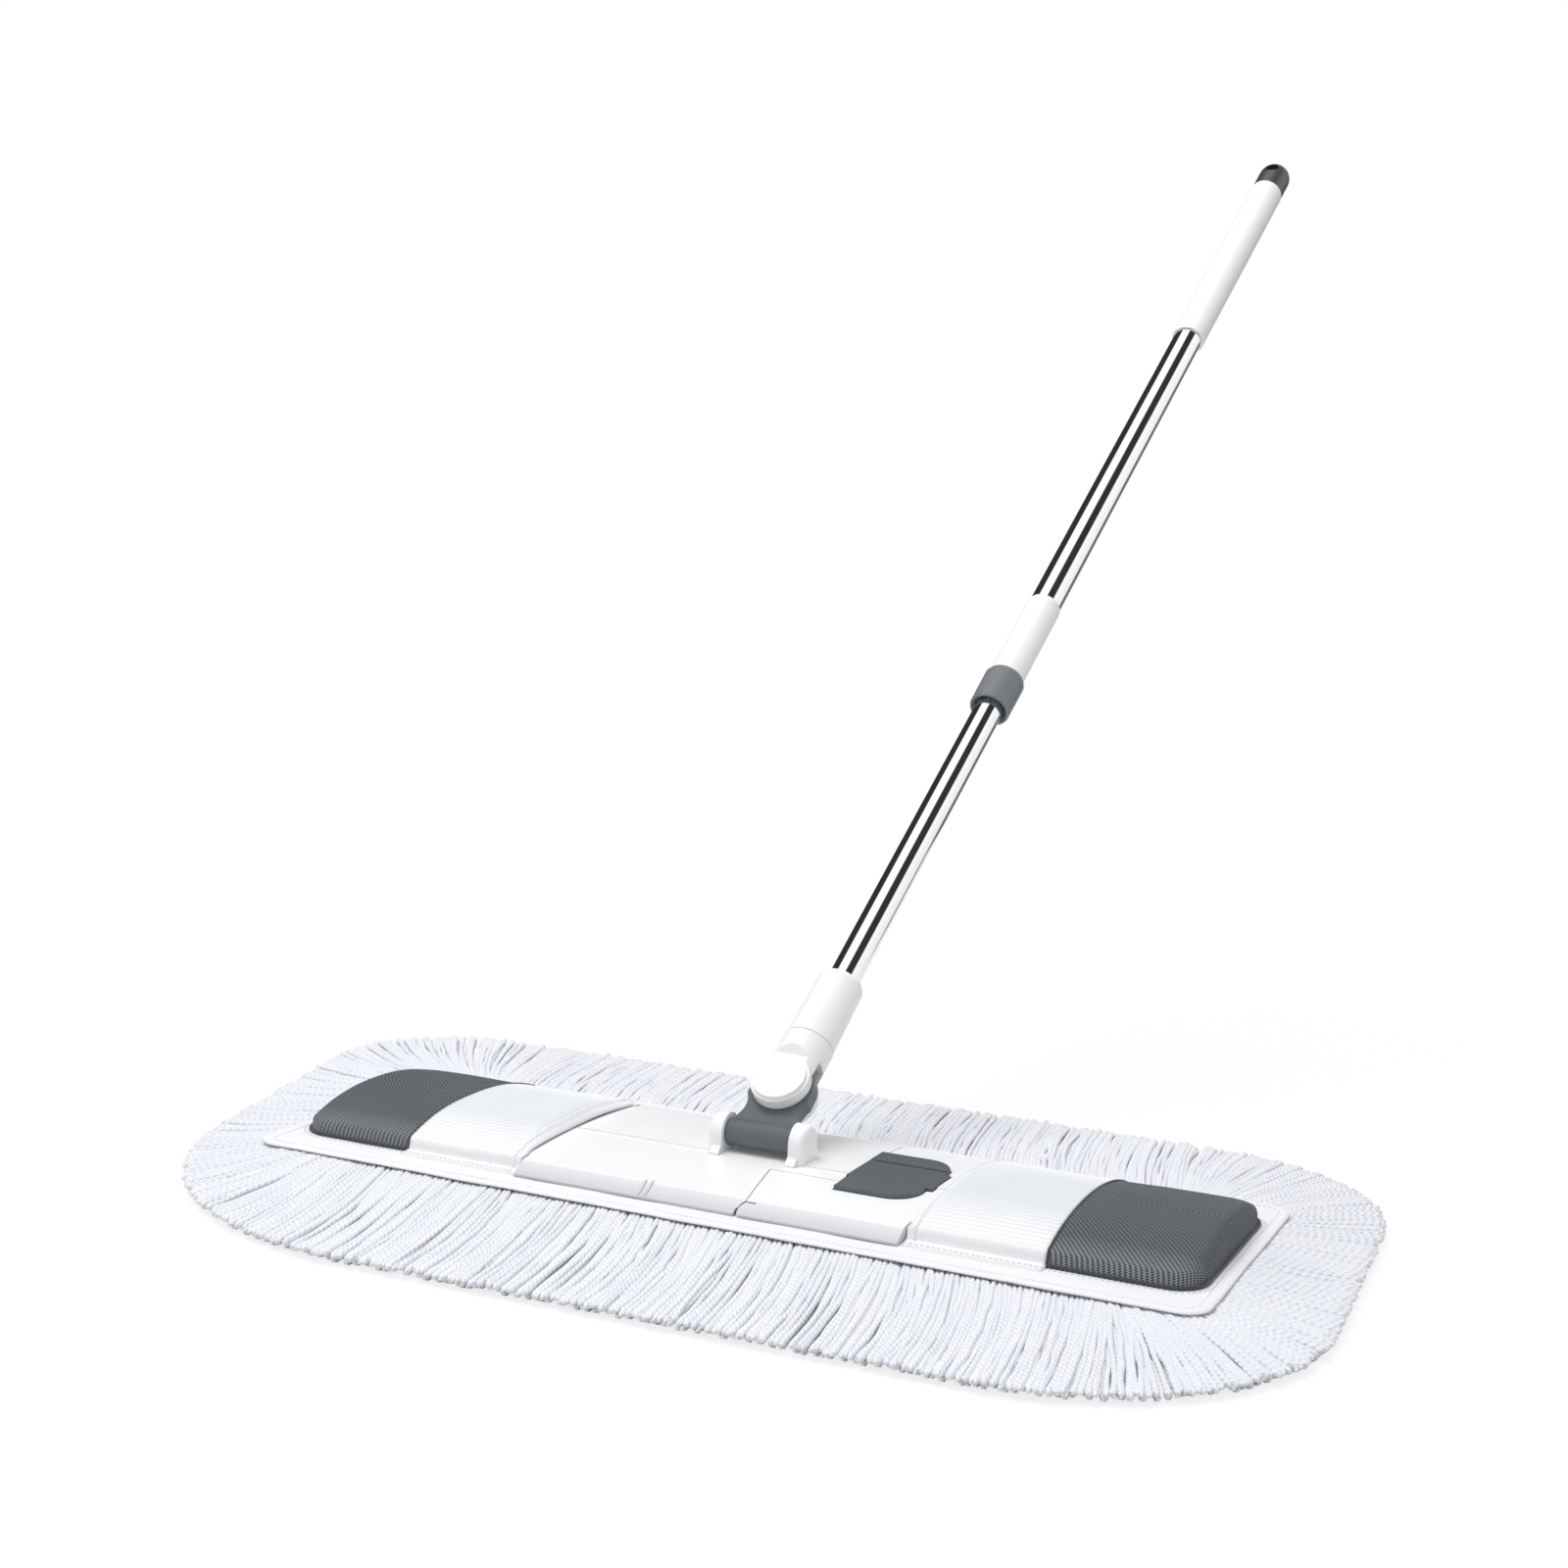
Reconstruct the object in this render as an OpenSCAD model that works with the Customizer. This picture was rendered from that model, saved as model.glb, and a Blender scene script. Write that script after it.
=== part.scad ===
// Flat pocket mop: folding plastic frame, fringed cotton mop head with two end
// pockets, two-way tilting joint and a telescopic steel pole.
// Millimetres. X runs along the mop head, Y points to the back, Z is up.
// Origin: the floor, under the middle of the mop head.

/* [View] */
// Which piece to draw

/* [Mop head] */
// Length over both pockets
pocket_span = 528; // [500:1:560]
// Width over a pocket's side walls
pocket_width = 134; // [130:1:140]
// Length of one pocket, opening to closed end
pocket_depth = 150; // [140:1:156]
// Length of the mesh part of a pocket
mesh_depth = 76; // [40:1:100]
// Height of the pocket's crown above the cloth
pocket_rise = 19; // [15:0.5:26]
// Thickness of the pocket fabric
pocket_fabric = 2.2; // [1.5:0.1:2.6]
// Length of the backing cloth
cloth_length = 550; // [540:1:580]
// Width of the backing cloth
cloth_width = 191; // [180:1:210]
// Thickness of the backing cloth
cloth_thick = 1.8; // [1:0.1:3]
// Height of the yarn under the cloth
yarn_height = 10.2; // [8:0.2:14]
// Length over the fringe
fringe_length = 710; // [680:1:730]
// Width over the fringe
fringe_width = 430; // [400:1:460]
// Width of the strip of mop that bends at the fold
bend_width = 44; // [42:1:60]

/* [Frame] */
// Width of the frame at its foot
frame_width = 154; // [148:1:164]
// Height of the frame's crown above the cloth
crown_rise = 10.6; // [10:0.1:13]
// Wall of the moulded frame
frame_wall = 2.4; // [1.8:0.1:2.6]
// Fold axis, distance right of the middle
fold_x = 25; // [22:0.5:30]
// Radius of the fold hinge's barrels
fold_barrel_r = 2.8; // [2.4:0.1:3]
// Radius of the fold hinge's pin
fold_pin_r = 1.5; // [1:0.1:1.8]
// Width of the latch pedal
latch_width = 70; // [60:1:76]
// Length of the latch pedal
latch_length = 44; // [40:1:46]
// Height of the pedal above the frame's crown
latch_proud = 1.4; // [0.8:0.1:2]

/* [Two-way joint] */
// Height of the tilt pin above the frame's crown
tilt_pin_rise = 10.4; // [10:0.1:14]
// Radius of the tilt barrel
barrel_r = 7.8; // [7:0.1:8.4]
// Length of the tilt barrel
barrel_length = 40; // [34:1:44]
// Thickness of one ear
ear_thick = 9.2; // [7:0.1:11]
// Radius of the tilt pin
tilt_pin_r = 3; // [2:0.1:3.6]
// Distance from the tilt pin to the swing pin
knuckle_length = 33; // [32:0.5:38]
// Thickness of the knuckle's plate
plate_thick = 9; // [7:0.1:10]
// Radius of the knuckle's round end
plate_end_r = 18.5; // [17:0.1:19]
// Radius of the fork's cheeks
cheek_r = 17.2; // [16:0.1:18]
// Lean of the pole above the floor as stored
pole_lean = 37.7; // [30:0.1:60]
// Swing of the pole to the right as stored
pole_swing = 3; // [0:0.1:6]

/* [Pole] */
// Outer radius of the lower tube
lower_r = 9.5; // [8.5:0.1:9.6]
// Outer radius of the upper tube
upper_r = 11; // [10.8:0.1:11.6]
// Wall of both tubes
tube_wall = 0.4; // [0.3:0.05:0.6]
// Length of lower tube that shows
lower_visible = 245; // [200:1:300]
// Length of upper tube that shows
upper_visible = 335; // [280:1:400]
// Length of the twist collar
collar_length = 32; // [26:0.5:40]
// Radius of the twist collar
collar_r = 13.6; // [13.2:0.1:15]
// Length of the white sleeve above the collar
sleeve_length = 77; // [50:1:100]
// Length of the hand grip
grip_length = 226; // [180:1:260]
// Radius of the hand grip at its top
grip_r = 13.2; // [12.6:0.1:15]
// Length of the end cap
cap_length = 38; // [34:1:46]
// Radius of the hanging hole
hang_hole_r = 5.5; // [4:0.1:6]

/* [Hidden] */
$fn = 96;

// Colours
plastic_white = [0.93, 0.94, 0.95];
plastic_grey = [0.33, 0.35, 0.38];
cotton_white = [0.95, 0.95, 0.97];
mesh_grey = [0.34, 0.36, 0.39];
steel = [0.78, 0.79, 0.8];

// Clearances
gap = 0.7;        // between the frame's moulded edges
running = 0.05;   // radial, pin in a turning bore
face_gap = 0.3;   // beside faces that turn past each other
eps = 0.01;

// Heights from the floor
cloth_top = yarn_height + cloth_thick;
frame_z = cloth_top + 0.2;
crown_z = cloth_top + crown_rise;
skin_z = crown_z - frame_wall;

// Frame plan
frame_half = frame_width / 2;
shoulder_half = frame_half - 9.5;
lip_height = 1.2;
crown_drop = 3.4;
crown_steps = 20;
corner_steps = 8;
pocket_mouth = pocket_span / 2 - pocket_depth;
body_end = pocket_mouth - 1;
wing_play = 0.8;
wing_inset = pocket_fabric + wing_play;
wing_half = pocket_width / 2 - wing_inset;
wing_end = pocket_span / 2 - pocket_fabric - 3;
wing_corner = 14;
wing_from = pocket_mouth + 7.5;
rib = 1.6;
rib_rows = [-46, -23, 0, 23, 46];

// Deck lines
deck_front = -8;
deck_back = 25.5;
deck_raise = 0.6;
groove_width = 1.5;
groove_depth = 1.2;

// Fold hinge
fold_z = frame_z + fold_barrel_r;
split_front = fold_x - 1;
split_back = fold_x - 10;
tongue_side = -21.3;
tongue_end = fold_x + 31.4;
barrel_clear = fold_barrel_r + 0.5;
tongue_back = 63;
tongue_under = fold_z + fold_barrel_r + face_gap;
floor_rise = tongue_under - frame_z - 0.6;
barrel_ends = [-66, -50, -10, 10, 50, 62];
barrel_gap = 0.4;
left_barrels = [for (i = [0:2:4]) [barrel_ends[i], barrel_ends[i + 1]]];
right_barrels = [
  [-frame_half, barrel_ends[0] - barrel_gap],
  [barrel_ends[1] + barrel_gap, barrel_ends[2] - barrel_gap],
  [barrel_ends[3] + barrel_gap, barrel_ends[4] - barrel_gap]
];
web_left = 14;
web_right = 11;
beam_thick = 3;
leaf_edge = 1.2;
foot_cut = 4.2;

// Latch
lip_x = tongue_end + gap;
lip_depth = 2;
latch_x = lip_x + lip_depth;
latch_half = latch_width / 2;
latch_corner = 16;
latch_tab_half = 14;
latch_tab = 3.2;
latch_top = crown_z + latch_proud;
latch_plate = 2.4;
latch_skirt = 1.6;
latch_lip_from = -14;
latch_pin_r = 1;
latch_lug_r = 2.2;
latch_pin_x = latch_x + latch_length * 0.56;
latch_pin_z = latch_top - latch_plate - 2.3;
latch_strip = 18;
well_z = frame_z + 4.2;
well_floor = 2.2;
well_wall = 2.2;
spring_wire = 0.45;
spring_leg_r = 0.38;
spring_r = latch_pin_r + 0.25 + spring_wire;
spring_turns = 4;

// Two-way joint
pin_z = crown_z + tilt_pin_rise;
ear_r = 10.6;
ear_in = barrel_length / 2 + face_gap;
ear_out = ear_in + ear_thick;
ear_blind = 4.6;
ear_edge = 3.4;
ear_flare = 4;
swing_pin_r = 4;
cheek_in = plate_thick / 2 + face_gap;
cheek_out = cheek_in + 6.5;
cap_thick = 2;
cap_r = cheek_r - 1.6;
waist_r = 14;
waist_depth = 2.5;
neck_from = plate_end_r + 1.2;
ramp_from = cheek_r + 0.3;
ring_from = 22.5;
ring_to = 34;
ring_r = 15.2;
spigot_r = 11;
spigot_length = 7;
elbow_y = knuckle_length * cos(pole_lean);
elbow_z = pin_z + knuckle_length * sin(pole_lean);

// Pole stations, measured along the pole from the swing pin
socket_r = 14.8;
socket_top_r = 14;
socket_length = 50;
socket_to = ring_to + socket_length;
tube_seat = 38;
seam = 0.7;
lower_from = socket_to - tube_seat;
collar_from = socket_to + lower_visible;
collar_to = collar_from + collar_length;
sleeve_to = collar_to + sleeve_length;
sleeve_r = upper_r + 0.7;
upper_from = collar_to + 6;
grip_from = sleeve_to + upper_visible;
grip_to = grip_from + grip_length;
upper_to = grip_to - 4;
cap_to = grip_to + cap_length;
upper_bore = upper_r - tube_wall;
bush_length = 22;
spigot_in = 14;
lower_to = upper_to - spigot_in - 4 - bush_length - (lower_visible - 6);
collet_r = lower_r + 1.7;
collet_from = collar_from + 4;
hang_at = cap_to - 14;
cap_top_r = grip_r - 0.2;
mesh_from = pocket_span / 2 - mesh_depth;
hem_width = 8;
pad_from = fold_x - bend_width / 2;
pad_to = fold_x + bend_width / 2;
arch_steps = 20;

// Fringe plan. The yarn lies swept, so its left end reaches further. Round
// corners are [X, Y, radius], anticlockwise from the back left one.
fringe_sweep = 23.4;
fringe_end_x = [-fringe_length / 2 - fringe_sweep, fringe_length / 2 - fringe_sweep];
fringe_side_y = [-fringe_width / 2 - 1.7, fringe_width / 2 - 1.7];
fringe_r = [76, 207, 134, 121];
fringe_corners = [
  [fringe_end_x[0] + fringe_r[0], fringe_side_y[1] - fringe_r[0], fringe_r[0]],
  [fringe_end_x[0] + fringe_r[1] + 43, fringe_side_y[0] + fringe_r[1], fringe_r[1]],
  [fringe_end_x[1] - fringe_r[2], fringe_side_y[0] + fringe_r[2] + 10, fringe_r[2]],
  [fringe_end_x[1] - fringe_r[3] - 9, fringe_side_y[1] - fringe_r[3], fringe_r[3]]
];
bend_step = 5;

// ---------- helpers ----------

// Sweeps a section, drawn as [Y, Z], along X from one station to another.
module along_x(from, to) {
  translate([from, 0, 0])
    rotate([90, 0, 90])
      linear_extrude(height = to - from)
        children();
}

// A plan raised between two heights.
module slab(from_z, to_z) {
  translate([0, 0, from_z])
    linear_extrude(height = to_z - from_z)
      children();
}

// A cylinder along Y between two stations.
module along_y(from, to, r) {
  translate([0, to, 0])
    rotate([90, 0, 0])
      cylinder(r = r, h = to - from);
}

// Puts a shape drawn along Z onto the pole: Z runs up the pole from the swing
// pin, and minus Y faces up, out of the fork's top cheek.
module on_pole() {
  translate([0, elbow_y, elbow_z])
    rotate([pole_lean, 0, 0])
      rotate([0, 0, -pole_swing])
        rotate([-90, 0, 0])
          children();
}

// A ring of one radius around the pole between two stations.
module pole_tube(from, to, r, bore) {
  translate([0, 0, from])
    difference() {
      cylinder(r = r, h = to - from);
      translate([0, 0, -1])
        cylinder(r = bore, h = to - from + 2);
    }
}

// One round corner of a plan, from angle a through a quarter turn.
function corner(x, y, r, a) = [
  for (i = [0:corner_steps])
    [x + r * cos(a + 90 * i / corner_steps), y + r * sin(a + 90 * i / corner_steps)]
];

// A rectangle with round corners, centred.
module round_plan(length, width, r) {
  x = length / 2 - r;
  y = width / 2 - r;
  polygon(concat(
    corner(x, y, r, 0), corner(-x, y, r, 90), corner(-x, -y, r, 180), corner(x, -y, r, 270)
  ));
}

// ---------- folding frame ----------

// Height of the crowned top at a distance from its middle line.
function crown_at(y) = crown_z - crown_drop * pow(y / shoulder_half, 2);

// Points across the crowned top from one side to the other, at a height offset.
function crown_line(from, to, up) = [
  for (i = [0:crown_steps])
    let (y = from + (to - from) * i / crown_steps) [y, crown_at(y) + up]
];

// Outer section of the frame: a lip at the foot, a bevel and a crowned top.
module frame_section(half, shoulder, sink = 0, foot = 0) {
  polygon(concat(
    [[-half, frame_z - foot], [-half, frame_z + lip_height]],
    crown_line(-shoulder, shoulder, -sink),
    [[half, frame_z + lip_height], [half, frame_z - foot]]
  ));
}

// A hollow moulding open underneath, stiffened by cross ribs and long ribs. The
// first child is its outer section, the second the hollow's.
module ribbed_shell(from, to, bays) {
  pitch = (to - from - rib) / bays;
  difference() {
    along_x(from, to) children(0);
    along_x(from - 1, to + 1) children(1);
  }
  intersection() {
    along_x(from, to) children(0);
    union() {
      for (i = [0:bays])
        translate([from + i * pitch, -frame_half, frame_z])
          cube([rib, frame_width, crown_z]);
      for (y = rib_rows)
        translate([from, y - rib / 2, frame_z])
          cube([to - from, rib, crown_z]);
    }
  }
}

// Crowned body of the frame between its two wings.
module body_shell(from, to, bays) {
  ribbed_shell(from, to, bays) {
    frame_section(frame_half, shoulder_half);
    frame_section(frame_half - frame_wall, shoulder_half - frame_wall * 0.7, frame_wall, 1);
  }
}

// Raised middle deck and the groove behind it.
module deck_band(from, to) {
  along_x(from, to)
    polygon(concat(
      [[deck_back, crown_z - 2], [deck_front, crown_z - 2]],
      crown_line(deck_front, deck_back, deck_raise)
    ));
}

module deck_groove(from, to) {
  along_x(from, to)
    translate([deck_back, crown_at(deck_back) - groove_depth])
      square([groove_width, 6]);
}

// Outline of a wing seen from above, less an inset all round.
module wing_plan(inset) {
  length = wing_end - inset;
  round_plan(2 * length, 2 * (wing_half - inset), wing_corner - inset);
}

// One half's wing, which slides into a pocket and fills its arch. A low neck
// joins it to the body. Drawn to the right.
module wing() {
  body_shell_neck(body_end - rib, wing_from + rib);
  intersection() {
    ribbed_shell(wing_from, wing_end, 4) {
      pocket_section(wing_inset, cloth_top - frame_z);
      pocket_section(wing_inset + frame_wall, 1);
    }
    slab(0, frame_z + pocket_rise) wing_plan(0);
  }
  intersection() {
    along_x(wing_from, wing_end) pocket_section(wing_inset, cloth_top - frame_z);
    slab(0, frame_z + pocket_rise)
      difference() {
        wing_plan(0);
        wing_plan(rib);
      }
  }
}

// The neck under the pocket's opening, as high as the body's crown.
module body_shell_neck(from, to) {
  ribbed_shell(from, to, 1) {
    frame_section(wing_half, wing_half - 6);
    frame_section(wing_half - frame_wall, wing_half - 6 - frame_wall * 0.7, frame_wall, 1);
  }
}

// Plan of the left half: straight at the front edge, a slanted joint over the
// front deck, then a wide tongue that reaches across the fold to the latch.
module left_plan() {
  polygon([
    [-wing_end - 10, -frame_half - 1], [split_front, -frame_half - 1],
    [split_front, -shoulder_half], [split_back, tongue_side], [tongue_end, tongue_side],
    [tongue_end, frame_half + 1], [-wing_end - 10, frame_half + 1]
  ]);
}

module right_plan() {
  polygon([
    [split_front + gap, -frame_half - 1], [wing_end + 10, -frame_half - 1],
    [wing_end + 10, frame_half + 1], [tongue_end + gap, frame_half + 1],
    [tongue_end + gap, tongue_side - gap], [split_back + gap * 1.3, tongue_side - gap],
    [split_front + gap, -shoulder_half]
  ]);
}

// Barrels of one half on the fold axis, each with the web that carries it.
module fold_barrels(spans, side) {
  intersection() {
    along_x(0, tongue_end) frame_section(frame_half, shoulder_half);
    fold_leaf(spans, side);
  }
}

module fold_leaf(spans, side) {
  for (s = spans) {
    translate([fold_x, 0, fold_z])
      along_y(s[0], s[1], fold_barrel_r);
    translate([side > 0 ? fold_x : fold_x - web_left, s[0], frame_z])
      cube([side > 0 ? web_right : web_left, s[1] - s[0], 2 * fold_barrel_r]);
  }
  if (side > 0)
    right_beam();
  else
    translate([fold_x - web_left - beam_thick + 1, -frame_half, frame_z])
      cube([beam_thick, frame_width, crown_z]);
}

// Beam that ties the right half's webs: full height ahead of the tongue, low
// beneath it and clear of the tongue's own back bevel.
module right_beam() {
  translate([fold_x + web_right - 1, -frame_half, frame_z]) {
    cube([beam_thick, frame_half + tongue_side - gap, crown_z]);
    cube([beam_thick, frame_half + tongue_back - leaf_edge, floor_rise]);
  }
}

module fold_holes(spans, r) {
  for (s = spans)
    translate([fold_x, 0, fold_z])
      along_y(s[0] - face_gap, s[1] + face_gap, r);
}

// Section across an ear, with its outer edges rounded.
module ear_section() {
  translate([-ear_r, 0])
    square([2 * ear_r, ear_thick - ear_edge]);
  translate([-ear_r + ear_edge, 0])
    square([2 * (ear_r - ear_edge), ear_thick]);
  for (s = [-1, 1])
    translate([s * (ear_r - ear_edge), ear_thick - ear_edge])
      circle(r = ear_edge);
}

// A round-topped ear with a flared foot on the deck; drawn on the right.
module ear() {
  difference() {
    union() {
      translate([ear_in, 0, pin_z])
        rotate([0, 90, 0])
          rotate_extrude()
            intersection() {
              ear_section();
              square([ear_r, ear_thick]);
            }
      translate([ear_in, 0, skin_z - 1])
        linear_extrude(height = pin_z - skin_z + 1)
          rotate([0, 0, 90])
            mirror([0, 1, 0])
              ear_section();
      along_x(ear_in, ear_in + ear_thick - ear_edge)
        polygon([
          [-ear_r - ear_flare, skin_z], [-ear_r - ear_flare, crown_z + 1], [-ear_r, crown_z + 4.5],
          [ear_r, crown_z + 4.5], [ear_r + ear_flare, crown_z + 1], [ear_r + ear_flare, skin_z]
        ]);
    }
    translate([ear_in - 1, 0, pin_z])
      rotate([0, 90, 0])
        cylinder(r = tilt_pin_r, h = ear_blind + 1);
  }
}

// Small clip rib and drip slot on the front bevel.
module bevel_rib() {
  translate([-fold_x - 12, -frame_half + 1.5, frame_z + 1])
    rotate([36, 0, 0])
      cube([1.6, 11, 1.2]);
  translate([-fold_x - 8, -frame_half + 1.5, frame_z + 1])
    rotate([36, 0, 0])
      cube([1.6, 11, 1.2]);
}

module frame_left() {
  color(plastic_white)
    difference() {
      union() {
        mirror([1, 0, 0]) wing();
        intersection() {
          union() {
            body_shell(-body_end, tongue_end, 5);
            deck_band(-body_end, tongue_end);
          }
          slab(0, crown_z + 5) left_plan();
        }
        fold_barrels(left_barrels, -1);
        ear();
        mirror([1, 0, 0]) ear();
        intersection() {
          bevel_rib();
          translate([-body_end, -frame_half, frame_z])
            cube([body_end, frame_half, 20]);
        }
      }
      deck_groove(-body_end - 1, tongue_end + 1);
      under_tongue();
      fold_holes(right_barrels, barrel_clear);
      front_foot_cut();
      translate([fold_x, 0, fold_z])
        along_y(-67, 63, fold_pin_r);
    }
}

// Space at the front edge that the right half's first web turns down into.
module front_foot_cut() {
  translate([fold_x - foot_cut, -frame_half - 1, frame_z - 1])
    cube([foot_cut + 1, barrel_ends[0] + frame_half + 1, fold_barrel_r + 1.5]);
}

// Space below the tongue that the right half's floor turns in.
module under_tongue() {
  from = fold_x - web_left + beam_thick;
  difference() {
    translate([from, barrel_ends[1], 0])
      cube([tongue_end - from + 1, tongue_back - barrel_ends[1], tongue_under]);
    fold_leaf(left_barrels, -1);
  }
}

module frame_right() {
  color(plastic_white)
    difference() {
      union() {
        wing();
        difference() {
          intersection() {
            union() {
              body_shell(split_back, body_end, 4);
              deck_band(split_back, body_end);
            }
            slab(0, crown_z + 5) right_plan();
          }
          translate([fold_x - 15, -frame_half - 2, 0])
            cube([15 + barrel_clear + 2, frame_half * 2, fold_z + barrel_clear]);
        }
        tongue_floor();
        latch_well();
        fold_barrels(right_barrels, 1);
      }
      deck_groove(split_back - 1, body_end + 1);
      slab(well_z, crown_z + 5) latch_plan(gap);
      fold_holes(left_barrels, barrel_clear);
      translate([fold_x, 0, fold_z])
        along_y(-67, 63, fold_pin_r + running);
      translate([latch_pin_x, 0, latch_pin_z])
        along_y(-latch_half - 2, latch_half + 2, latch_pin_r);
    }
}

// Floor and ribs of the right half where the tongue lies over it.
module tongue_floor() {
  from = fold_x + barrel_clear + 2;
  length = lip_x + 1 - from;
  translate([from, tongue_side - gap, frame_z])
    cube([length, tongue_back - leaf_edge + gap - tongue_side, well_floor]);
  for (y = [tongue_side, 0, 23, 46, tongue_back - 2.4])
    translate([from, y - rib / 2, frame_z])
      cube([length, rib, floor_rise]);
}

// Shallow well the pedal sits in: a wall round it and a floor below.
module latch_well() {
  intersection() {
    translate([lip_x, -frame_half, 0])
      cube([body_end - lip_x, frame_width, crown_z - crown_drop + 1]);
    union() {
      slab(well_z - well_floor, well_z) latch_plan(gap + well_wall);
      slab(well_z - eps, crown_z)
        difference() {
          latch_plan(gap + well_wall);
          latch_plan(gap);
        }
    }
  }
}

// Plan of the pedal: square to the tongue, rounded to the right, with a thumb
// tab in the middle and a catching lip along most of the left edge.
module latch_plan(grow) {
  x0 = latch_x - grow;
  x1 = latch_x + latch_length;
  h = latch_half + grow;
  translate([x0, -h])
    square([x1 - latch_corner - x0, 2 * h]);
  translate([x0, -latch_half + latch_corner])
    square([x1 + grow - x0, 2 * (latch_half - latch_corner)]);
  for (s = [-1, 1])
    translate([x1 - latch_corner, s * (latch_half - latch_corner)])
      circle(r = latch_corner + grow);
  translate([x1 - 4, -latch_tab_half - grow])
    square([4 + latch_tab + grow, 2 * (latch_tab_half + grow)]);
  translate([lip_x - grow, latch_lip_from - grow])
    square([lip_depth + 4, latch_half - latch_lip_from + 2 * grow]);
}

module latch_pedal() {
  color(plastic_grey)
    difference() {
      union() {
        slab(latch_top - latch_plate, latch_top) latch_plan(0);
        slab(latch_top - latch_plate - latch_skirt, latch_top - latch_plate + eps)
          difference() {
            latch_plan(0);
            latch_plan(-1.8);
          }
        intersection() {
          slab(latch_top - eps, latch_top + 0.8) latch_plan(-0.8);
          translate([0, latch_strip, 0])
            cube([200, 100, 100]);
        }
        for (s = [-1, 1])
          translate([latch_pin_x, s * (latch_half - 6), 0]) {
            translate([0, 0, latch_pin_z])
              along_y(-4, 4, latch_lug_r);
            translate([-latch_lug_r, -4, latch_pin_z])
              cube([2 * latch_lug_r, 8, latch_top - latch_plate / 2 - latch_pin_z]);
          }
      }
      translate([latch_pin_x, 0, latch_pin_z])
        along_y(-latch_half - 1, latch_half + 1, latch_pin_r + running);
    }
}

module latch_pin() {
  color(steel)
    translate([latch_pin_x, 0, latch_pin_z])
      along_y(-latch_half - 2, latch_half + 2, latch_pin_r);
}

// Torsion spring coiled on the pedal's pin, one leg along the well's floor.
module latch_spring() {
  pitch = 2 * spring_wire - 0.03;
  color(steel)
    translate([latch_pin_x, 0, latch_pin_z]) {
      for (i = [0:spring_turns - 1])
        translate([0, (i - (spring_turns - 1) / 2) * pitch, 0])
          rotate([90, 0, 0])
            rotate_extrude($fn = 48)
              translate([spring_r, 0])
                circle(r = spring_wire, $fn = 30);
      translate([0, (spring_turns - 1) / 2 * pitch, -spring_r])
        rotate([0, 90, 0])
          cylinder(r = spring_leg_r, h = 9, $fn = 30);
    }
}

module fold_pin() {
  color(steel)
    translate([fold_x, 0, fold_z])
      along_y(-66.5, 62.5, fold_pin_r);
}

// ---------- two-way joint ----------

module knuckle_pin() {
  color(steel)
    translate([-ear_in - ear_blind, 0, pin_z])
      rotate([0, 90, 0])
        cylinder(r = tilt_pin_r, h = 2 * (ear_in + ear_blind));
}

// Barrel between the ears with a round-ended plate that carries the fork.
module knuckle() {
  color(plastic_grey)
    translate([0, 0, pin_z])
      rotate([pole_lean, 0, 0])
        difference() {
          union() {
            translate([-barrel_length / 2, 0, 0])
              rotate([0, 90, 0])
                cylinder(r = barrel_r, h = barrel_length);
            translate([-plate_end_r, 0, -plate_thick / 2])
              cube([2 * plate_end_r, knuckle_length, plate_thick]);
            translate([0, knuckle_length, -plate_thick / 2])
              cylinder(r = plate_end_r, h = plate_thick);
          }
          translate([-barrel_length / 2 - 1, 0, 0])
            rotate([0, 90, 0])
              cylinder(r = tilt_pin_r + running, h = barrel_length + 2);
          translate([0, knuckle_length, -plate_thick])
            cylinder(r = swing_pin_r + running, h = 2 * plate_thick);
          for (s = [-1, 1])
            translate([s * (plate_end_r + waist_r - waist_depth), knuckle_length / 2, -plate_thick])
              cylinder(r = waist_r, h = 2 * plate_thick);
          for (x = [-11, -4, 3, 10])
            translate([x - 0.9, -barrel_r, -barrel_r - 1])
              cube([1.8, 2 * barrel_r - 6, barrel_r - tilt_pin_r - 1]);
        }
}

// One cheek of the fork, on the side given by its sign.
module cheek(side) {
  rotate([90, 0, 0])
    translate([0, 0, side > 0 ? cheek_in : -cheek_out])
      cylinder(r = cheek_r, h = cheek_out - cheek_in);
}

// Side view of the fork's neck: flat between the cheeks, then two ramps that
// rise to the round cup. It is wider than the cup.
module neck_profile() {
  rotate([90, 0, 90])
    translate([0, 0, -ring_r - 1])
      linear_extrude(height = 2 * ring_r + 2)
        polygon([
          [-cheek_out, 0], [cheek_out, 0], [cheek_out, ramp_from], [ring_r + 0.1, ring_from],
          [ring_r + 0.1, ring_to], [-ring_r - 0.1, ring_to], [-ring_r - 0.1, ring_from],
          [-cheek_out, ramp_from]
        ]);
}

// Fork: two round cheeks, a neck and a round cup for the socket.
module elbow_fork() {
  color(plastic_white)
    on_pole()
      difference() {
        union() {
          cheek(1);
          cheek(-1);
          intersection() {
            cylinder(r = ring_r, h = ring_to);
            neck_profile();
          }
        }
        translate([-40, -cheek_in, -40])
          cube([80, 2 * cheek_in, 40 + neck_from]);
        translate([0, 0, ring_to - spigot_length])
          cylinder(r = spigot_r, h = spigot_length + 1);
        rotate([90, 0, 0])
          translate([0, 0, -cheek_out - 1])
            cylinder(r = swing_pin_r, h = 2 * cheek_out + 2);
      }
}

module elbow_pin() {
  color(steel)
    on_pole()
      rotate([90, 0, 0])
        translate([0, 0, -cheek_out])
          cylinder(r = swing_pin_r, h = 2 * cheek_out);
}

module elbow_cap(side) {
  color(plastic_white)
    on_pole()
      rotate([90, 0, 0])
        translate([0, 0, side > 0 ? cheek_out : -cheek_out - cap_thick])
          cylinder(r = cap_r, h = cap_thick);
}

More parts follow.
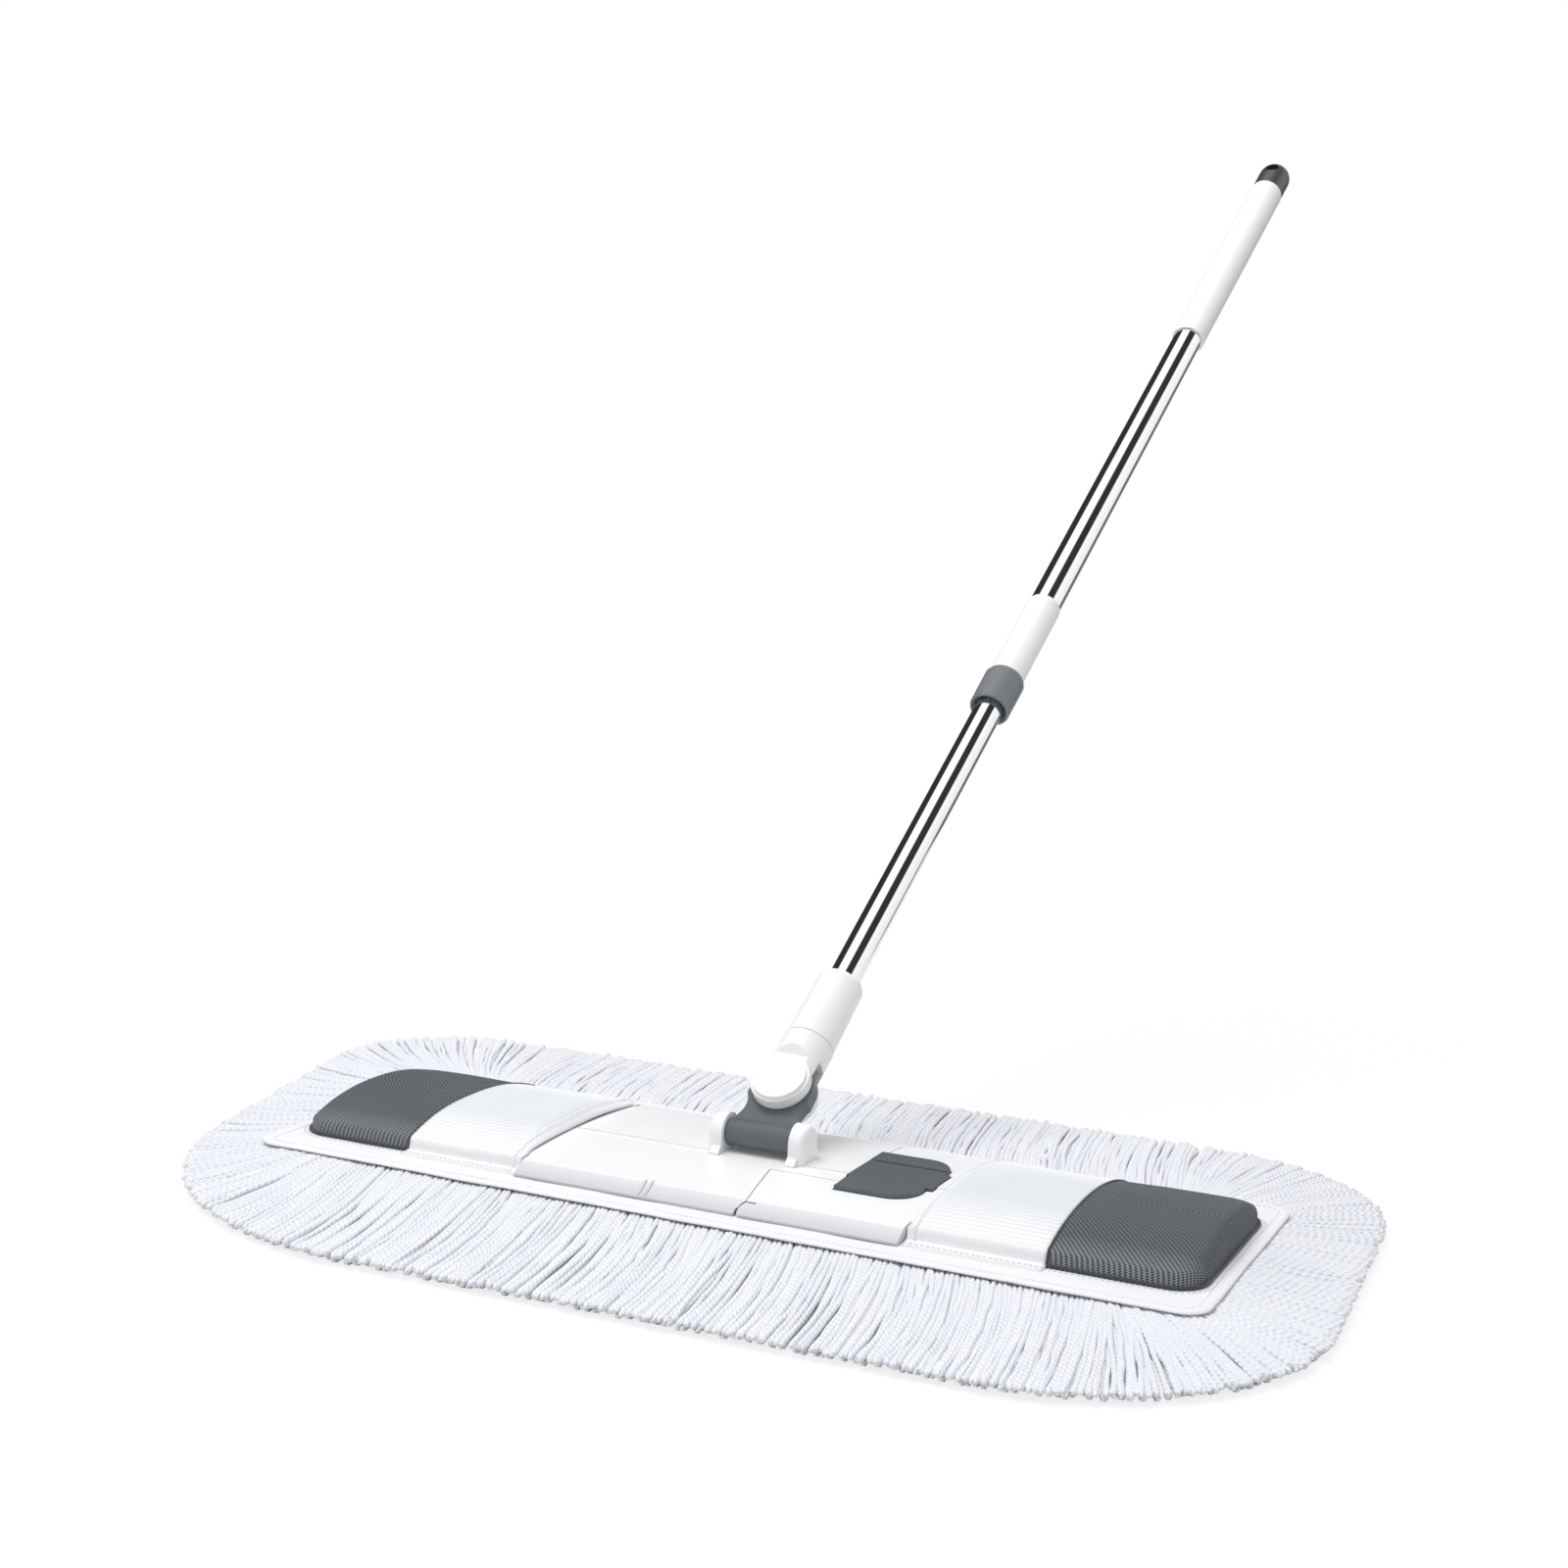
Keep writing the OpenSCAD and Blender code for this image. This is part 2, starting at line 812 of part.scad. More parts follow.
module elbow_cap_top() {
  elbow_cap(1);
}

module elbow_cap_bottom() {
  elbow_cap(-1);
}

// ---------- pole ----------

module pole_socket() {
  color(plastic_white)
    on_pole()
      rotate_extrude()
        polygon([
          [0, ring_to - spigot_length], [spigot_r, ring_to - spigot_length], [spigot_r, ring_to],
          [socket_r - seam, ring_to], [socket_r - seam, ring_to + seam], [socket_r, ring_to + seam],
          [socket_r, ring_to + 4], [socket_top_r, socket_to - 4],
          [socket_top_r - 1.2, socket_to - 1.2], [socket_top_r - 4, socket_to],
          [lower_r, socket_to], [lower_r, lower_from], [0, lower_from]
        ]);
}

module lower_tube() {
  color(steel)
    on_pole()
      pole_tube(lower_from, lower_to, lower_r, lower_r - tube_wall);
}

// Plug in the lower tube's top end, with a collar that runs in the upper tube.
module guide_bush() {
  color(plastic_grey)
    on_pole()
      rotate_extrude()
        polygon([
          [0, lower_to - 18], [lower_r - tube_wall, lower_to - 18], [lower_r - tube_wall, lower_to],
          [upper_bore - running, lower_to], [upper_bore - running, lower_to + bush_length - 2],
          [upper_bore - 2, lower_to + bush_length], [0, lower_to + bush_length]
        ]);
}

// Split clamping ring that the twist collar closes on the lower tube.
module clamp_collet() {
  color(plastic_grey)
    on_pole()
      difference() {
        pole_tube(collet_from, collar_to - 6, collet_r, lower_r + running);
        for (a = [0, 60, 120])
          rotate([0, 0, a])
            translate([-20, -0.6, collet_from - 1])
              cube([40, 1.2, 12]);
      }
}

module lock_collar() {
  color(plastic_grey)
    on_pole()
      rotate_extrude()
        polygon([
          [lower_r + 0.9, collar_from + 3], [collar_r - 1.6, collar_from], [collar_r - 0.4, collar_from],
          [collar_r, collar_from + 1], [collar_r + 0.2, collar_to - 3], [collar_r - 0.8, collar_to - 0.8],
          [collar_r - 2, collar_to], [sleeve_r + 0.06, collar_to], [sleeve_r + 0.06, collar_to - 8],
          [collet_r + 0.06, collar_to - 8], [collet_r + 0.06, collar_from + 3]
        ]);
}

// White sleeve fixed on the upper tube's lower end; the collar turns on it.
module lock_sleeve() {
  color(plastic_white)
    on_pole()
      rotate_extrude()
        polygon([
          [lower_r + running, collar_to - 6], [sleeve_r, collar_to - 6], [sleeve_r, sleeve_to - 2],
          [upper_r + 0.2, sleeve_to], [upper_r, sleeve_to], [upper_r, upper_from],
          [lower_r + running, upper_from]
        ]);
}

module upper_tube() {
  color(steel)
    on_pole()
      pole_tube(upper_from, upper_to, upper_r, upper_bore);
}

module grip() {
  color(plastic_white)
    on_pole()
      rotate_extrude()
        polygon([
          [upper_r, grip_from], [grip_r - 1.1, grip_from], [grip_r - 0.6, grip_from + 1.2],
          [grip_r, grip_to - 2], [grip_r, grip_to], [upper_r, grip_to]
        ]);
}

// Domed end cap with a spigot in the tube and a cross hole to hang it by.
module hang_cap() {
  color(plastic_grey)
    on_pole()
      difference() {
        union() {
          translate([0, 0, upper_to - spigot_in])
            cylinder(r = upper_bore, h = spigot_in);
          translate([0, 0, upper_to - eps])
            cylinder(r = upper_r, h = grip_to - upper_to + 2 * eps);
          translate([0, 0, grip_to])
            cylinder(r = cap_top_r, h = cap_length - cap_top_r);
          translate([0, 0, cap_to - cap_top_r])
            sphere(r = cap_top_r);
        }
        translate([0, 0, hang_at])
          rotate([90, 0, 0])
            translate([0, 0, -grip_r - 1])
              cylinder(r = hang_hole_r, h = 2 * grip_r + 2);
      }
}

// ---------- mop head ----------

// Direction that the straight run from one round corner to the next one faces.
function run_faces(a, b) =
  atan2(b[1] - a[1], b[0] - a[0]) - acos((a[2] - b[2]) / norm([b[0] - a[0], b[1] - a[1]]));

// Points round one corner, turning anticlockwise between two directions.
function bend_points(c, from, to) = [
  let (turn = (to - from + 720) % 360, steps = ceil(turn / bend_step))
    for (i = [0:steps])
      let (a = from + turn * i / steps) [c[0] + c[2] * cos(a), c[1] + c[2] * sin(a)]
];

module fringe_plan() {
  polygon([
    for (i = [0:3])
      let (
        before = fringe_corners[(i + 3) % 4],
        here = fringe_corners[i],
        after = fringe_corners[(i + 1) % 4]
      )
        each bend_points(here, run_faces(before, here), run_faces(here, after))
  ]);
}

module strip(from, to) {
  translate([from, -300])
    square([to - from, 600]);
}

module fringe(from, to) {
  color(cotton_white)
    slab(0, yarn_height)
      intersection() {
        fringe_plan();
        strip(from, to);
      }
}

module cloth(from, to) {
  color(cotton_white)
    slab(yarn_height, cloth_top)
      intersection() {
        round_plan(cloth_length, cloth_width, 14);
        strip(from, to);
      }
}

// Section of a pocket: upright side walls under a shallow arch.
module pocket_section(inset, foot = 0) {
  half = pocket_width / 2 - inset;
  rise = pocket_rise * 0.6;
  arch_r = (pow(pocket_width / 2, 2) + rise * rise) / (2 * rise);
  middle_z = cloth_top + pocket_rise - arch_r;
  edge = asin(half / (arch_r - inset));
  arch = [
    for (i = [0:arch_steps])
      let (a = edge * (2 * i / arch_steps - 1))
        [(arch_r - inset) * sin(a), middle_z + (arch_r - inset) * cos(a)]
  ];
  polygon(concat([[half, cloth_top - foot], [-half, cloth_top - foot]], arch));
}

module pocket_sleeve(from, to, proud = 0) {
  difference() {
    along_x(from, to) pocket_section(-proud);
    along_x(from - 1, to + 1) pocket_section(pocket_fabric, 1);
  }
}

module pocket_end() {
  end = pocket_span / 2;
  difference() {
    intersection() {
      along_x(mesh_from, end) pocket_section(0);
      slab(0, 60)
        translate([0, 0])
          round_plan(2 * end, pocket_width, 12);
    }
    intersection() {
      along_x(mesh_from - 1, end - pocket_fabric) pocket_section(pocket_fabric, 1);
      slab(0, 60)
        round_plan(2 * (end - pocket_fabric), pocket_width - 2 * pocket_fabric, 12 - pocket_fabric);
    }
  }
}

module pocket_mesh_right() {
  color(mesh_grey) pocket_end();
}

module pocket_mesh_left() {
  color(mesh_grey) mirror([1, 0, 0]) pocket_end();
}

module pocket_panel_right() {
  color(cotton_white) pocket_sleeve(pocket_mouth + hem_width, mesh_from);
}

module pocket_panel_left() {
  color(cotton_white) mirror([1, 0, 0]) pocket_sleeve(pocket_mouth + hem_width, mesh_from);
}

module pocket_hem_right() {
  color(cotton_white) pocket_sleeve(pocket_mouth, pocket_mouth + hem_width, 0.6);
}

module pocket_hem_left() {
  color(cotton_white) mirror([1, 0, 0]) pocket_sleeve(pocket_mouth, pocket_mouth + hem_width, 0.6);
}

module cloth_left() {
  cloth(-cloth_length, pad_from);
}

module cloth_mid() {
  cloth(pad_from, pad_to - face_gap);
}

module cloth_right() {
  cloth(pad_to, cloth_length);
}

module fringe_left() {
  fringe(-fringe_length, pad_from);
}

module fringe_mid() {
  fringe(pad_from, pad_to - face_gap);
}

module fringe_right() {
  fringe(pad_to, fringe_length);
}

// ---------- drawing ----------

frame_left();
frame_right();
fold_pin();
latch_pedal();
latch_pin();
latch_spring();
knuckle_pin();
knuckle();
elbow_fork();
elbow_pin();
elbow_cap_top();
elbow_cap_bottom();
pole_socket();
lower_tube();
guide_bush();
clamp_collet();
lock_collar();
lock_sleeve();
upper_tube();
grip();
hang_cap();
cloth_left();
cloth_mid();
cloth_right();
fringe_left();
fringe_mid();
fringe_right();
pocket_panel_left();
pocket_panel_right();
pocket_mesh_left();
pocket_mesh_right();
pocket_hem_left();
pocket_hem_right();
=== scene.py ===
import math

import bpy
import numpy as np
from mathutils import Matrix, Vector
from mathutils.bvhtree import BVHTree


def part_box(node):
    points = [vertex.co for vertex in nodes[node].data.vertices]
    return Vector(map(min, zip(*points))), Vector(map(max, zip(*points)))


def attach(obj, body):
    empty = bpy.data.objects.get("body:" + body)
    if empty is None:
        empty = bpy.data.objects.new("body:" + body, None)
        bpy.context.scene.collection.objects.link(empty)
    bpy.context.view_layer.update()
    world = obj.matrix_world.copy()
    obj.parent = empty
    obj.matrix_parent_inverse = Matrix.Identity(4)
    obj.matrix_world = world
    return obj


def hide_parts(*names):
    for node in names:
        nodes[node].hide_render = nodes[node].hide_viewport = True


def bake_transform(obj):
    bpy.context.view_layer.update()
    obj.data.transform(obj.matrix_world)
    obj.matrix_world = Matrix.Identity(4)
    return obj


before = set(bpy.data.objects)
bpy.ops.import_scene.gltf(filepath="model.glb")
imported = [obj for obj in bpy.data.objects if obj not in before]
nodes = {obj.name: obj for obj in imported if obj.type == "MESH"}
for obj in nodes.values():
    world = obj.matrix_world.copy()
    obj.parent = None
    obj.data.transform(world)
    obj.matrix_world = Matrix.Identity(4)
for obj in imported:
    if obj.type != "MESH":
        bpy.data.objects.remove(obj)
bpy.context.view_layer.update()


# ---------------------------------------------------------------------------
# Folding frame. Two hollow mouldings of white polypropylene with ribs under
# their deck, pinned together at the fold; a satin skin with a fine mould grain.
# ---------------------------------------------------------------------------

class Wire:
    """A socket of a node tree; arithmetic on it adds Math nodes to the tree."""

    def __init__(self, tree, socket):
        self.tree, self.socket = tree, socket

    def other(self, output):
        """Another output of the same node."""
        return Wire(self.tree, self.socket.node.outputs[output])

    def math(self, operation, *values, clamp=False):
        """The result of a Math node on the values."""
        kind = {"operation": operation, "use_clamp": clamp}
        return add_node(self.tree, "ShaderNodeMath", kind, dict(enumerate(values)))

    def __add__(self, other):
        return self.math("ADD", self, other)

    def __radd__(self, other):
        return self.math("ADD", other, self)

    def __sub__(self, other):
        return self.math("SUBTRACT", self, other)

    def __rsub__(self, other):
        return self.math("SUBTRACT", other, self)

    def __mul__(self, other):
        return self.math("MULTIPLY", self, other)

    def __rmul__(self, other):
        return self.math("MULTIPLY", other, self)

    def __truediv__(self, other):
        return self.math("DIVIDE", self, other)

    def __rtruediv__(self, other):
        return self.math("DIVIDE", other, self)

    def __pow__(self, other):
        return self.math("POWER", self, other)

    def __abs__(self):
        return self.math("ABSOLUTE", self)

    def sin(self):
        return self.math("SINE", self)

    def cos(self):
        return self.math("COSINE", self)

    def over(self, edge, soft):
        """0 below the edge, 1 above it, with a soft step."""
        return self.math("ADD", (self - edge) / soft, 0.5, clamp=True)


def plug(tree, slot, value):
    """Links a wire to a socket, or sets the socket to a plain value."""
    if isinstance(value, Wire):
        tree.links.new(value.socket, slot)
    elif slot.type == "RGBA":
        slot.default_value = (*value, 1.0)
    else:
        slot.default_value = value


def add_node(tree, kind, settings=None, sockets=None, output=0):
    """Adds a node: its settings first, then a value or a wire for each socket."""
    node = tree.nodes.new(kind)
    for name, value in (settings or {}).items():
        setattr(node, name, value)
    for key, value in (sockets or {}).items():
        plug(tree, node.inputs[key], value)
    return Wire(tree, node.outputs[output]) if node.outputs else None


class Paint:
    """One material: its node tree and its Principled shader."""

    def __init__(self, name, **surface):
        self.material = bpy.data.materials.new(name)
        self.material.use_nodes = True
        self.tree = self.material.node_tree
        self.shader = self.tree.nodes["Principled BSDF"]
        self.place = self.node("TexCoord", output="Object")
        self.set(**surface)

    def set(self, **surface):
        """Sets or links sockets of the shader, named with _ for a space."""
        for name, value in surface.items():
            plug(self.tree, self.shader.inputs[name.replace("_", " ")], value)

    def node(self, kind, settings=None, sockets=None, output=0):
        """Adds a shader node to this material."""
        return add_node(self.tree, "ShaderNode" + kind, settings, sockets, output)

    def axes(self):
        """The three object coordinates, each as a wire."""
        x = self.node("SeparateXYZ", sockets={0: self.place})
        return x, x.other("Y"), x.other("Z")

    def noise(self, scale, detail, stretch=None):
        """Cloudy noise, 0 to 1; stretch scales the coordinates along each axis."""
        spot = self.place
        if stretch:
            spot = self.node("VectorMath", {"operation": "MULTIPLY"}, {0: spot, 1: stretch})
        return self.node("TexNoise", sockets={"Vector": spot, "Scale": scale, "Detail": detail})

    def blend(self, factor, low_color, high_color):
        """A colour between two: the first where the factor is 0, the second where it is 1."""
        return self.node("Mix", {"data_type": "RGBA"}, {0: factor, 6: low_color, 7: high_color}, 2)

    def stored(self, name):
        """A value kept on the mesh's points."""
        return self.node("Attribute", {"attribute_name": name}, output="Fac")

    def relief(self, height, distance, strength, edge=None):
        """Fine relief; edge is the radius that the shading rounds sharp edges to."""
        sockets = {"Height": height, "Distance": distance, "Strength": strength}
        if edge:
            sockets["Normal"] = self.node("Bevel", {"samples": 4}, {"Radius": edge})
        self.set(Normal=self.node("Bump", sockets=sockets))


def moulded(name, dark, light, roughness, grain, edge=0.0005):
    """Moulded plastic: faint cloudy colour, uneven sheen, mould grain, worn edges."""
    paint = Paint(name)
    fine = paint.noise(1800.0, 1.0)
    paint.colour = paint.blend(paint.noise(14.0, 3.0), dark, light)
    paint.set(Base_Color=paint.colour, Roughness=paint.noise(35.0, 3.0) * 0.08 + roughness)
    paint.relief(fine, grain, 0.5, edge)
    return paint


def clad(paint, *names):
    """Gives one material to the pieces that keep their mesh."""
    for name in names:
        mesh = nodes[name].data
        mesh.materials.clear()
        mesh.materials.append(paint.material)


frame_paint = moulded("frame_white", (0.88, 0.89, 0.90), (0.91, 0.92, 0.93), 0.30, 0.000008)

# The bevels along the long sides are painted a shade greyer than the deck, and greyest
# at their foot: painted shade for side faces that get less of the overhead light.
bevel_width = 0.0095
bevel_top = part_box("frame_left")[1][1] - bevel_width
off_middle = abs(frame_paint.axes()[1])
bevel_shade = off_middle.over(bevel_top + 0.0004, 0.0008)
bevel_foot_shade = off_middle.over(bevel_top + 0.0045, 0.0100)
frame_paint.set(Base_Color=frame_paint.blend(bevel_shade, frame_paint.colour, frame_paint.blend(
    bevel_foot_shade, (0.75, 0.76, 0.78), (0.56, 0.575, 0.60))))
clad(frame_paint, "frame_left", "frame_right")


# ---------------------------------------------------------------------------
# Pins of the fold, the latch and the joint, with the latch's spring. Drawn
# steel wire, dull from handling, with fine scratches round it.
# ---------------------------------------------------------------------------

pin_paint = Paint("pin_steel", Metallic=1.0, Base_Color=(0.60, 0.60, 0.62))
drawn = pin_paint.noise(900.0, 2.0, (1.0, 0.05, 1.0))
pin_paint.set(Roughness=drawn * 0.25 + 0.22)
pin_paint.relief(drawn, 0.00002, 0.5)
clad(pin_paint, "fold_pin", "latch_pin", "latch_spring", "knuckle_pin", "elbow_pin")


# ---------------------------------------------------------------------------
# Dark mouldings: foot latch, knuckle, twist collar with its clamping ring and
# plug, and the end cap. Glass-filled nylon with a satin grain.
# ---------------------------------------------------------------------------

nylon_paint = moulded("nylon_grey", (0.100, 0.109, 0.122), (0.116, 0.126, 0.140), 0.36, 0.000012)
clad(nylon_paint, "latch_pedal", "knuckle", "clamp_collet", "guide_bush")
cap_paint = moulded("cap_grey", (0.045, 0.049, 0.055), (0.058, 0.063, 0.070), 0.32, 0.000012)
clad(cap_paint, "hang_cap")

# The collar's grip has fine ridges along the pole, all the way round. Their crests are painted lighter and
# their grooves darker: painted highlight and shade on the ridges.
tube_spots = [(Vector(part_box(n)[0]) + Vector(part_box(n)[1])) / 2 for n in ("lower_tube", "upper_tube")]
pole_way = (tube_spots[1] - tube_spots[0]).normalized()
pole_side = pole_way.cross(Vector((0, 0, 1))).normalized()
pole_up = pole_side.cross(pole_way)
collar_ridges = 46
collar_paint = Paint("collar_grey")


def along(direction):
    """How far a point lies from the pole's axis along a direction."""
    spot = {0: collar_paint.place, 1: direction}
    reach = collar_paint.node("VectorMath", {"operation": "DOT_PRODUCT"}, spot, "Value")
    return reach - tube_spots[0].dot(direction)


around = along(pole_side)
ridges = (around.math("ARCTAN2", around, along(pole_up)) * collar_ridges).sin() * 0.5 + 0.5
collar_cloud = collar_paint.noise(40.0, 3.0)
collar_paint.set(Roughness=collar_cloud * 0.1 + 0.34, Base_Color=collar_paint.blend(
    ridges * 0.8 + collar_cloud * 0.3, (0.115, 0.125, 0.139), (0.235, 0.248, 0.266)))
collar_paint.relief(ridges, 0.0002, 0.8, 0.0006)
clad(collar_paint, "lock_collar")


# ---------------------------------------------------------------------------
# White mouldings of the joint and the pole: fork, covers, socket, sleeve and
# grip. The same plastic as the frame, a little glossier from handling.
# ---------------------------------------------------------------------------

pole_paint = moulded("pole_white", (0.87, 0.88, 0.89), (0.90, 0.91, 0.92), 0.40, 0.000004, 0.0008)
clad(pole_paint, "elbow_fork", "elbow_cap_top", "elbow_cap_bottom", "pole_socket", "lock_sleeve", "grip")


# ---------------------------------------------------------------------------
# Pole tubes. Polished stainless tube, seam-welded, with a faint fine grain
# and a little unevenness in its shine.
# ---------------------------------------------------------------------------

tube_paint = Paint("tube_steel", Metallic=1.0, Base_Color=(0.86, 0.87, 0.885))
polish = tube_paint.noise(40.0, 6.0)
tube_paint.set(Roughness=polish * 0.05 + 0.02)
tube_paint.relief(tube_paint.noise(300.0, 3.0), 0.000004, 0.4)
clad(tube_paint, "lower_tube", "upper_tube")


# ---------------------------------------------------------------------------
# Backing cloth. One woven strip under the frame, its edge bound with a folded
# tape that is sewn down all round.
# ---------------------------------------------------------------------------

right_low, right_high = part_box("cloth_right")
mid_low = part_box("cloth_mid")[0]
cloth_half = (right_high[0], right_high[1])
cloth_top = right_high[2]
cloth_corner = 0.014
bend_from = (mid_low[0], 0.0, cloth_top)
bend_to = (right_low[0], 0.0, cloth_top)


def show(name, mesh):
    """Puts a mesh into the scene as an object at the origin."""
    piece = bpy.data.objects.new(name, mesh)
    bpy.context.scene.collection.objects.link(piece)
    return piece


def add_mesh(name, points, faces, material, smooth=True):
    """A piece made of plain points and faces."""
    mesh = bpy.data.meshes.new(name)
    mesh.from_pydata([tuple(map(float, p)) for p in points], [], faces)
    mesh.validate()
    mesh.update()
    mesh.materials.append(material)
    if smooth:
        mesh.shade_smooth()
    return show(name, mesh)


def grid_faces(rows, columns, wrap=False):
    """Quads of a grid of points stored row by row; wrap joins last column to first."""
    last = columns if wrap else columns - 1
    return [
        (r * columns + c, r * columns + (c + 1) % columns,
         (r + 1) * columns + (c + 1) % columns, (r + 1) * columns + c)
        for r in range(rows - 1) for c in range(last)
    ]


def wave_noise(seed, count=6, low=3.0, high=14.0):
    """A smooth, fixed random function of (x, y), about -1 to 1."""
    rng = np.random.default_rng(seed)
    ways = rng.normal(size=(count, 2))
    ways /= np.linalg.norm(ways, axis=1)[:, None]
    rates = rng.uniform(low, high, count)[:, None] * ways * 2 * math.pi
    shifts = rng.uniform(0, 2 * math.pi, count)

    def at(x, y):
        x, y = np.asarray(x, float), np.asarray(y, float)
        total = sum(np.sin(rates[i, 0] * x + rates[i, 1] * y + shifts[i]) for i in range(count))
        return total / math.sqrt(count)

    return at


def rounded_ring(half_x, half_y, radius, steps):
    """Points round a rectangle with round corners, anticlockwise, evenly spaced."""
    radius = max(radius, 1e-4)
    sides = [2 * (half_y - radius), 2 * (half_x - radius)] * 2
    arc = radius * math.pi / 2
    total = sum(sides) + 4 * arc
    corners = [(half_x - radius, half_y - radius), (radius - half_x, half_y - radius),
               (radius - half_x, radius - half_y), (half_x - radius, radius - half_y)]
    points = []
    for i in range(steps):
        s = total * i / steps
        for side in range(4):
            if s < sides[side]:
                x, y = corners[side - 1]
                turn = side * math.pi / 2
                points.append((x + radius * math.cos(turn) - s * math.sin(turn),
                               y + radius * math.sin(turn) + s * math.cos(turn), turn))
                break
            s -= sides[side]
            if s < arc:
                x, y = corners[side]
                turn = side * math.pi / 2 + s / radius
                points.append((x + radius * math.cos(turn), y + radius * math.sin(turn), turn))
                break
            s -= arc
    return points


cloth_paint = Paint("backing_cloth", Roughness=0.9, Sheen_Weight=0.25)
warp_x, warp_y = cloth_paint.axes()[:2]
weave_rate, knit_rate = 5200.0, 1400.0    # radians a metre
weave = (warp_x * weave_rate).sin() * (warp_y * weave_rate).sin()
knit = abs((warp_x * knit_rate).sin() * (warp_y * knit_rate).sin())
tone = cloth_paint.noise(22.0, 5.0)
cloth_paint.set(Base_Color=cloth_paint.blend(
    tone * 0.4 + knit * 0.6, (0.93, 0.935, 0.95), (0.76, 0.77, 0.80)))
cloth_paint.relief(weave * 0.5 + (1.0 - knit) * 0.5 + cloth_paint.noise(700.0, 2.0), 0.00016, 0.7)

swell = wave_noise(4, 7, 4.0, 16.0)
ring_count, middle_inset, cloth_thick, edge_wobble = 720, 0.0945, 0.0016, 0.0004
# (distance in from the edge, height over the cloth): underside, rolled tape, cloth
cloth_profile = [(inset, -cloth_thick) for inset in (middle_inset, 0.06, 0.03, 0.0015)]
cloth_profile += [(0.0, -0.0010), (0.0006, -0.0002), (0.0016, 0.0003), (0.003, 0.00045),
                  (0.0056, 0.0003), (0.0064, -0.0001)]
cloth_profile += [(inset, 0.0) for inset in (0.0075, 0.012, 0.02, 0.035, 0.055, 0.075, middle_inset)]
cloth_points = []
for inset, lift in cloth_profile:
    ring = rounded_ring(cloth_half[0] - inset, cloth_half[1] - inset, cloth_corner - inset, ring_count)
    for x, y, turn in ring:
        wobble = edge_wobble * float(swell(x, y))
        cloth_points.append((x + math.cos(turn) * wobble, y + math.sin(turn) * wobble,
                             cloth_top + lift + 0.5 * min(wobble, 0.0)))
cloth_faces = grid_faces(len(cloth_profile), ring_count, wrap=True)
cloth_faces.append(tuple(range(len(cloth_points) - ring_count, len(cloth_points))))
cloth_faces.append(tuple(range(ring_count - 1, -1, -1)))
backing_cloth = add_mesh("backing_cloth", cloth_points, cloth_faces, cloth_paint.material)
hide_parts("cloth_left", "cloth_mid", "cloth_right")
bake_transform(backing_cloth)


# The tape is held by two rows of lockstitch: a short bead of thread every 3 mm.
thread_paint = Paint("sewing_thread", Roughness=0.7, Sheen_Weight=0.2)
ply = thread_paint.noise(1500.0, 2.0)
thread_paint.set(Base_Color=thread_paint.blend(ply, (0.60, 0.61, 0.64), (0.86, 0.865, 0.89)))


def grown(name, paths, tree, settings, closed=False, stored=None):
    """Runs a node tree on paths of points and keeps the result as one plain mesh."""
    points, edges = [], []
    for path in paths:
        base = len(points)
        points += path
        edges += [(base + i, base + i + 1) for i in range(len(path) - 1)]
        if closed:
            edges.append((base + len(path) - 1, base))
    mesh = bpy.data.meshes.new(name + "_paths")
    mesh.from_pydata(points, edges, [])
    for key, values in (stored or {}).items():
        mesh.attributes.new(key, "FLOAT", "POINT").data.foreach_set("value", values)
    draft = show(name + "_paths", mesh)
    run = draft.modifiers.new(name, "NODES")
    run.node_group = tree
    sockets = {item.name: item.identifier for item in tree.interface.items_tree
               if item.in_out == "INPUT"}
    for key, value in settings.items():
        run[sockets[key]] = value
    graph = bpy.context.evaluated_depsgraph_get()
    solid = bpy.data.meshes.new_from_object(draft.evaluated_get(graph), depsgraph=graph)
    solid.name = name
    bpy.data.objects.remove(draft)
    return show(name, solid)


def new_tree(name, **inputs):
    """A geometry node tree with named inputs, and the wire of its first one."""
    tree = bpy.data.node_groups.new(name, "GeometryNodeTree")
    for key, kind in {"Geometry": "Geometry", **inputs}.items():
        tree.interface.new_socket(key, in_out="INPUT", socket_type="NodeSocket" + kind)
    tree.interface.new_socket("Geometry", in_out="OUTPUT", socket_type="NodeSocketGeometry")
    return tree, add_node(tree, "NodeGroupInput")


def end_tree(tree, start, geometry):
    """Makes what was grown real and gives it the tree's material."""
    real = add_node(tree, "GeometryNodeRealizeInstances", sockets={"Geometry": geometry})
    coat = {"Geometry": real, "Material": start.other("Material")}
    add_node(tree, "NodeGroupOutput", sockets={0: add_node(tree, "GeometryNodeSetMaterial", sockets=coat)})
    return tree


def stitch_tree():
    """Lays thread beads end to end along the paths."""
    tree, start = new_tree("lockstitch", Pitch="Float", Length="Float", Width="Float", Material="Material")
    line = add_node(tree, "GeometryNodeMeshToCurve", sockets={"Mesh": start})
    spots = add_node(tree, "GeometryNodeCurveToPoints", {"mode": "LENGTH"},
                     {"Curve": line, "Length": start.other("Pitch")})
    bead = add_node(tree, "GeometryNodeMeshUVSphere", sockets={"Segments": 6, "Rings": 4, "Radius": 0.5})
    width, length = start.other("Width"), start.other("Length")
    size = add_node(tree, "ShaderNodeCombineXYZ", sockets={"X": width, "Y": width, "Z": length})
    beads = add_node(tree, "GeometryNodeInstanceOnPoints", sockets={
        "Points": spots, "Instance": bead, "Rotation": spots.other("Rotation"), "Scale": size})
    return end_tree(tree, start, beads)


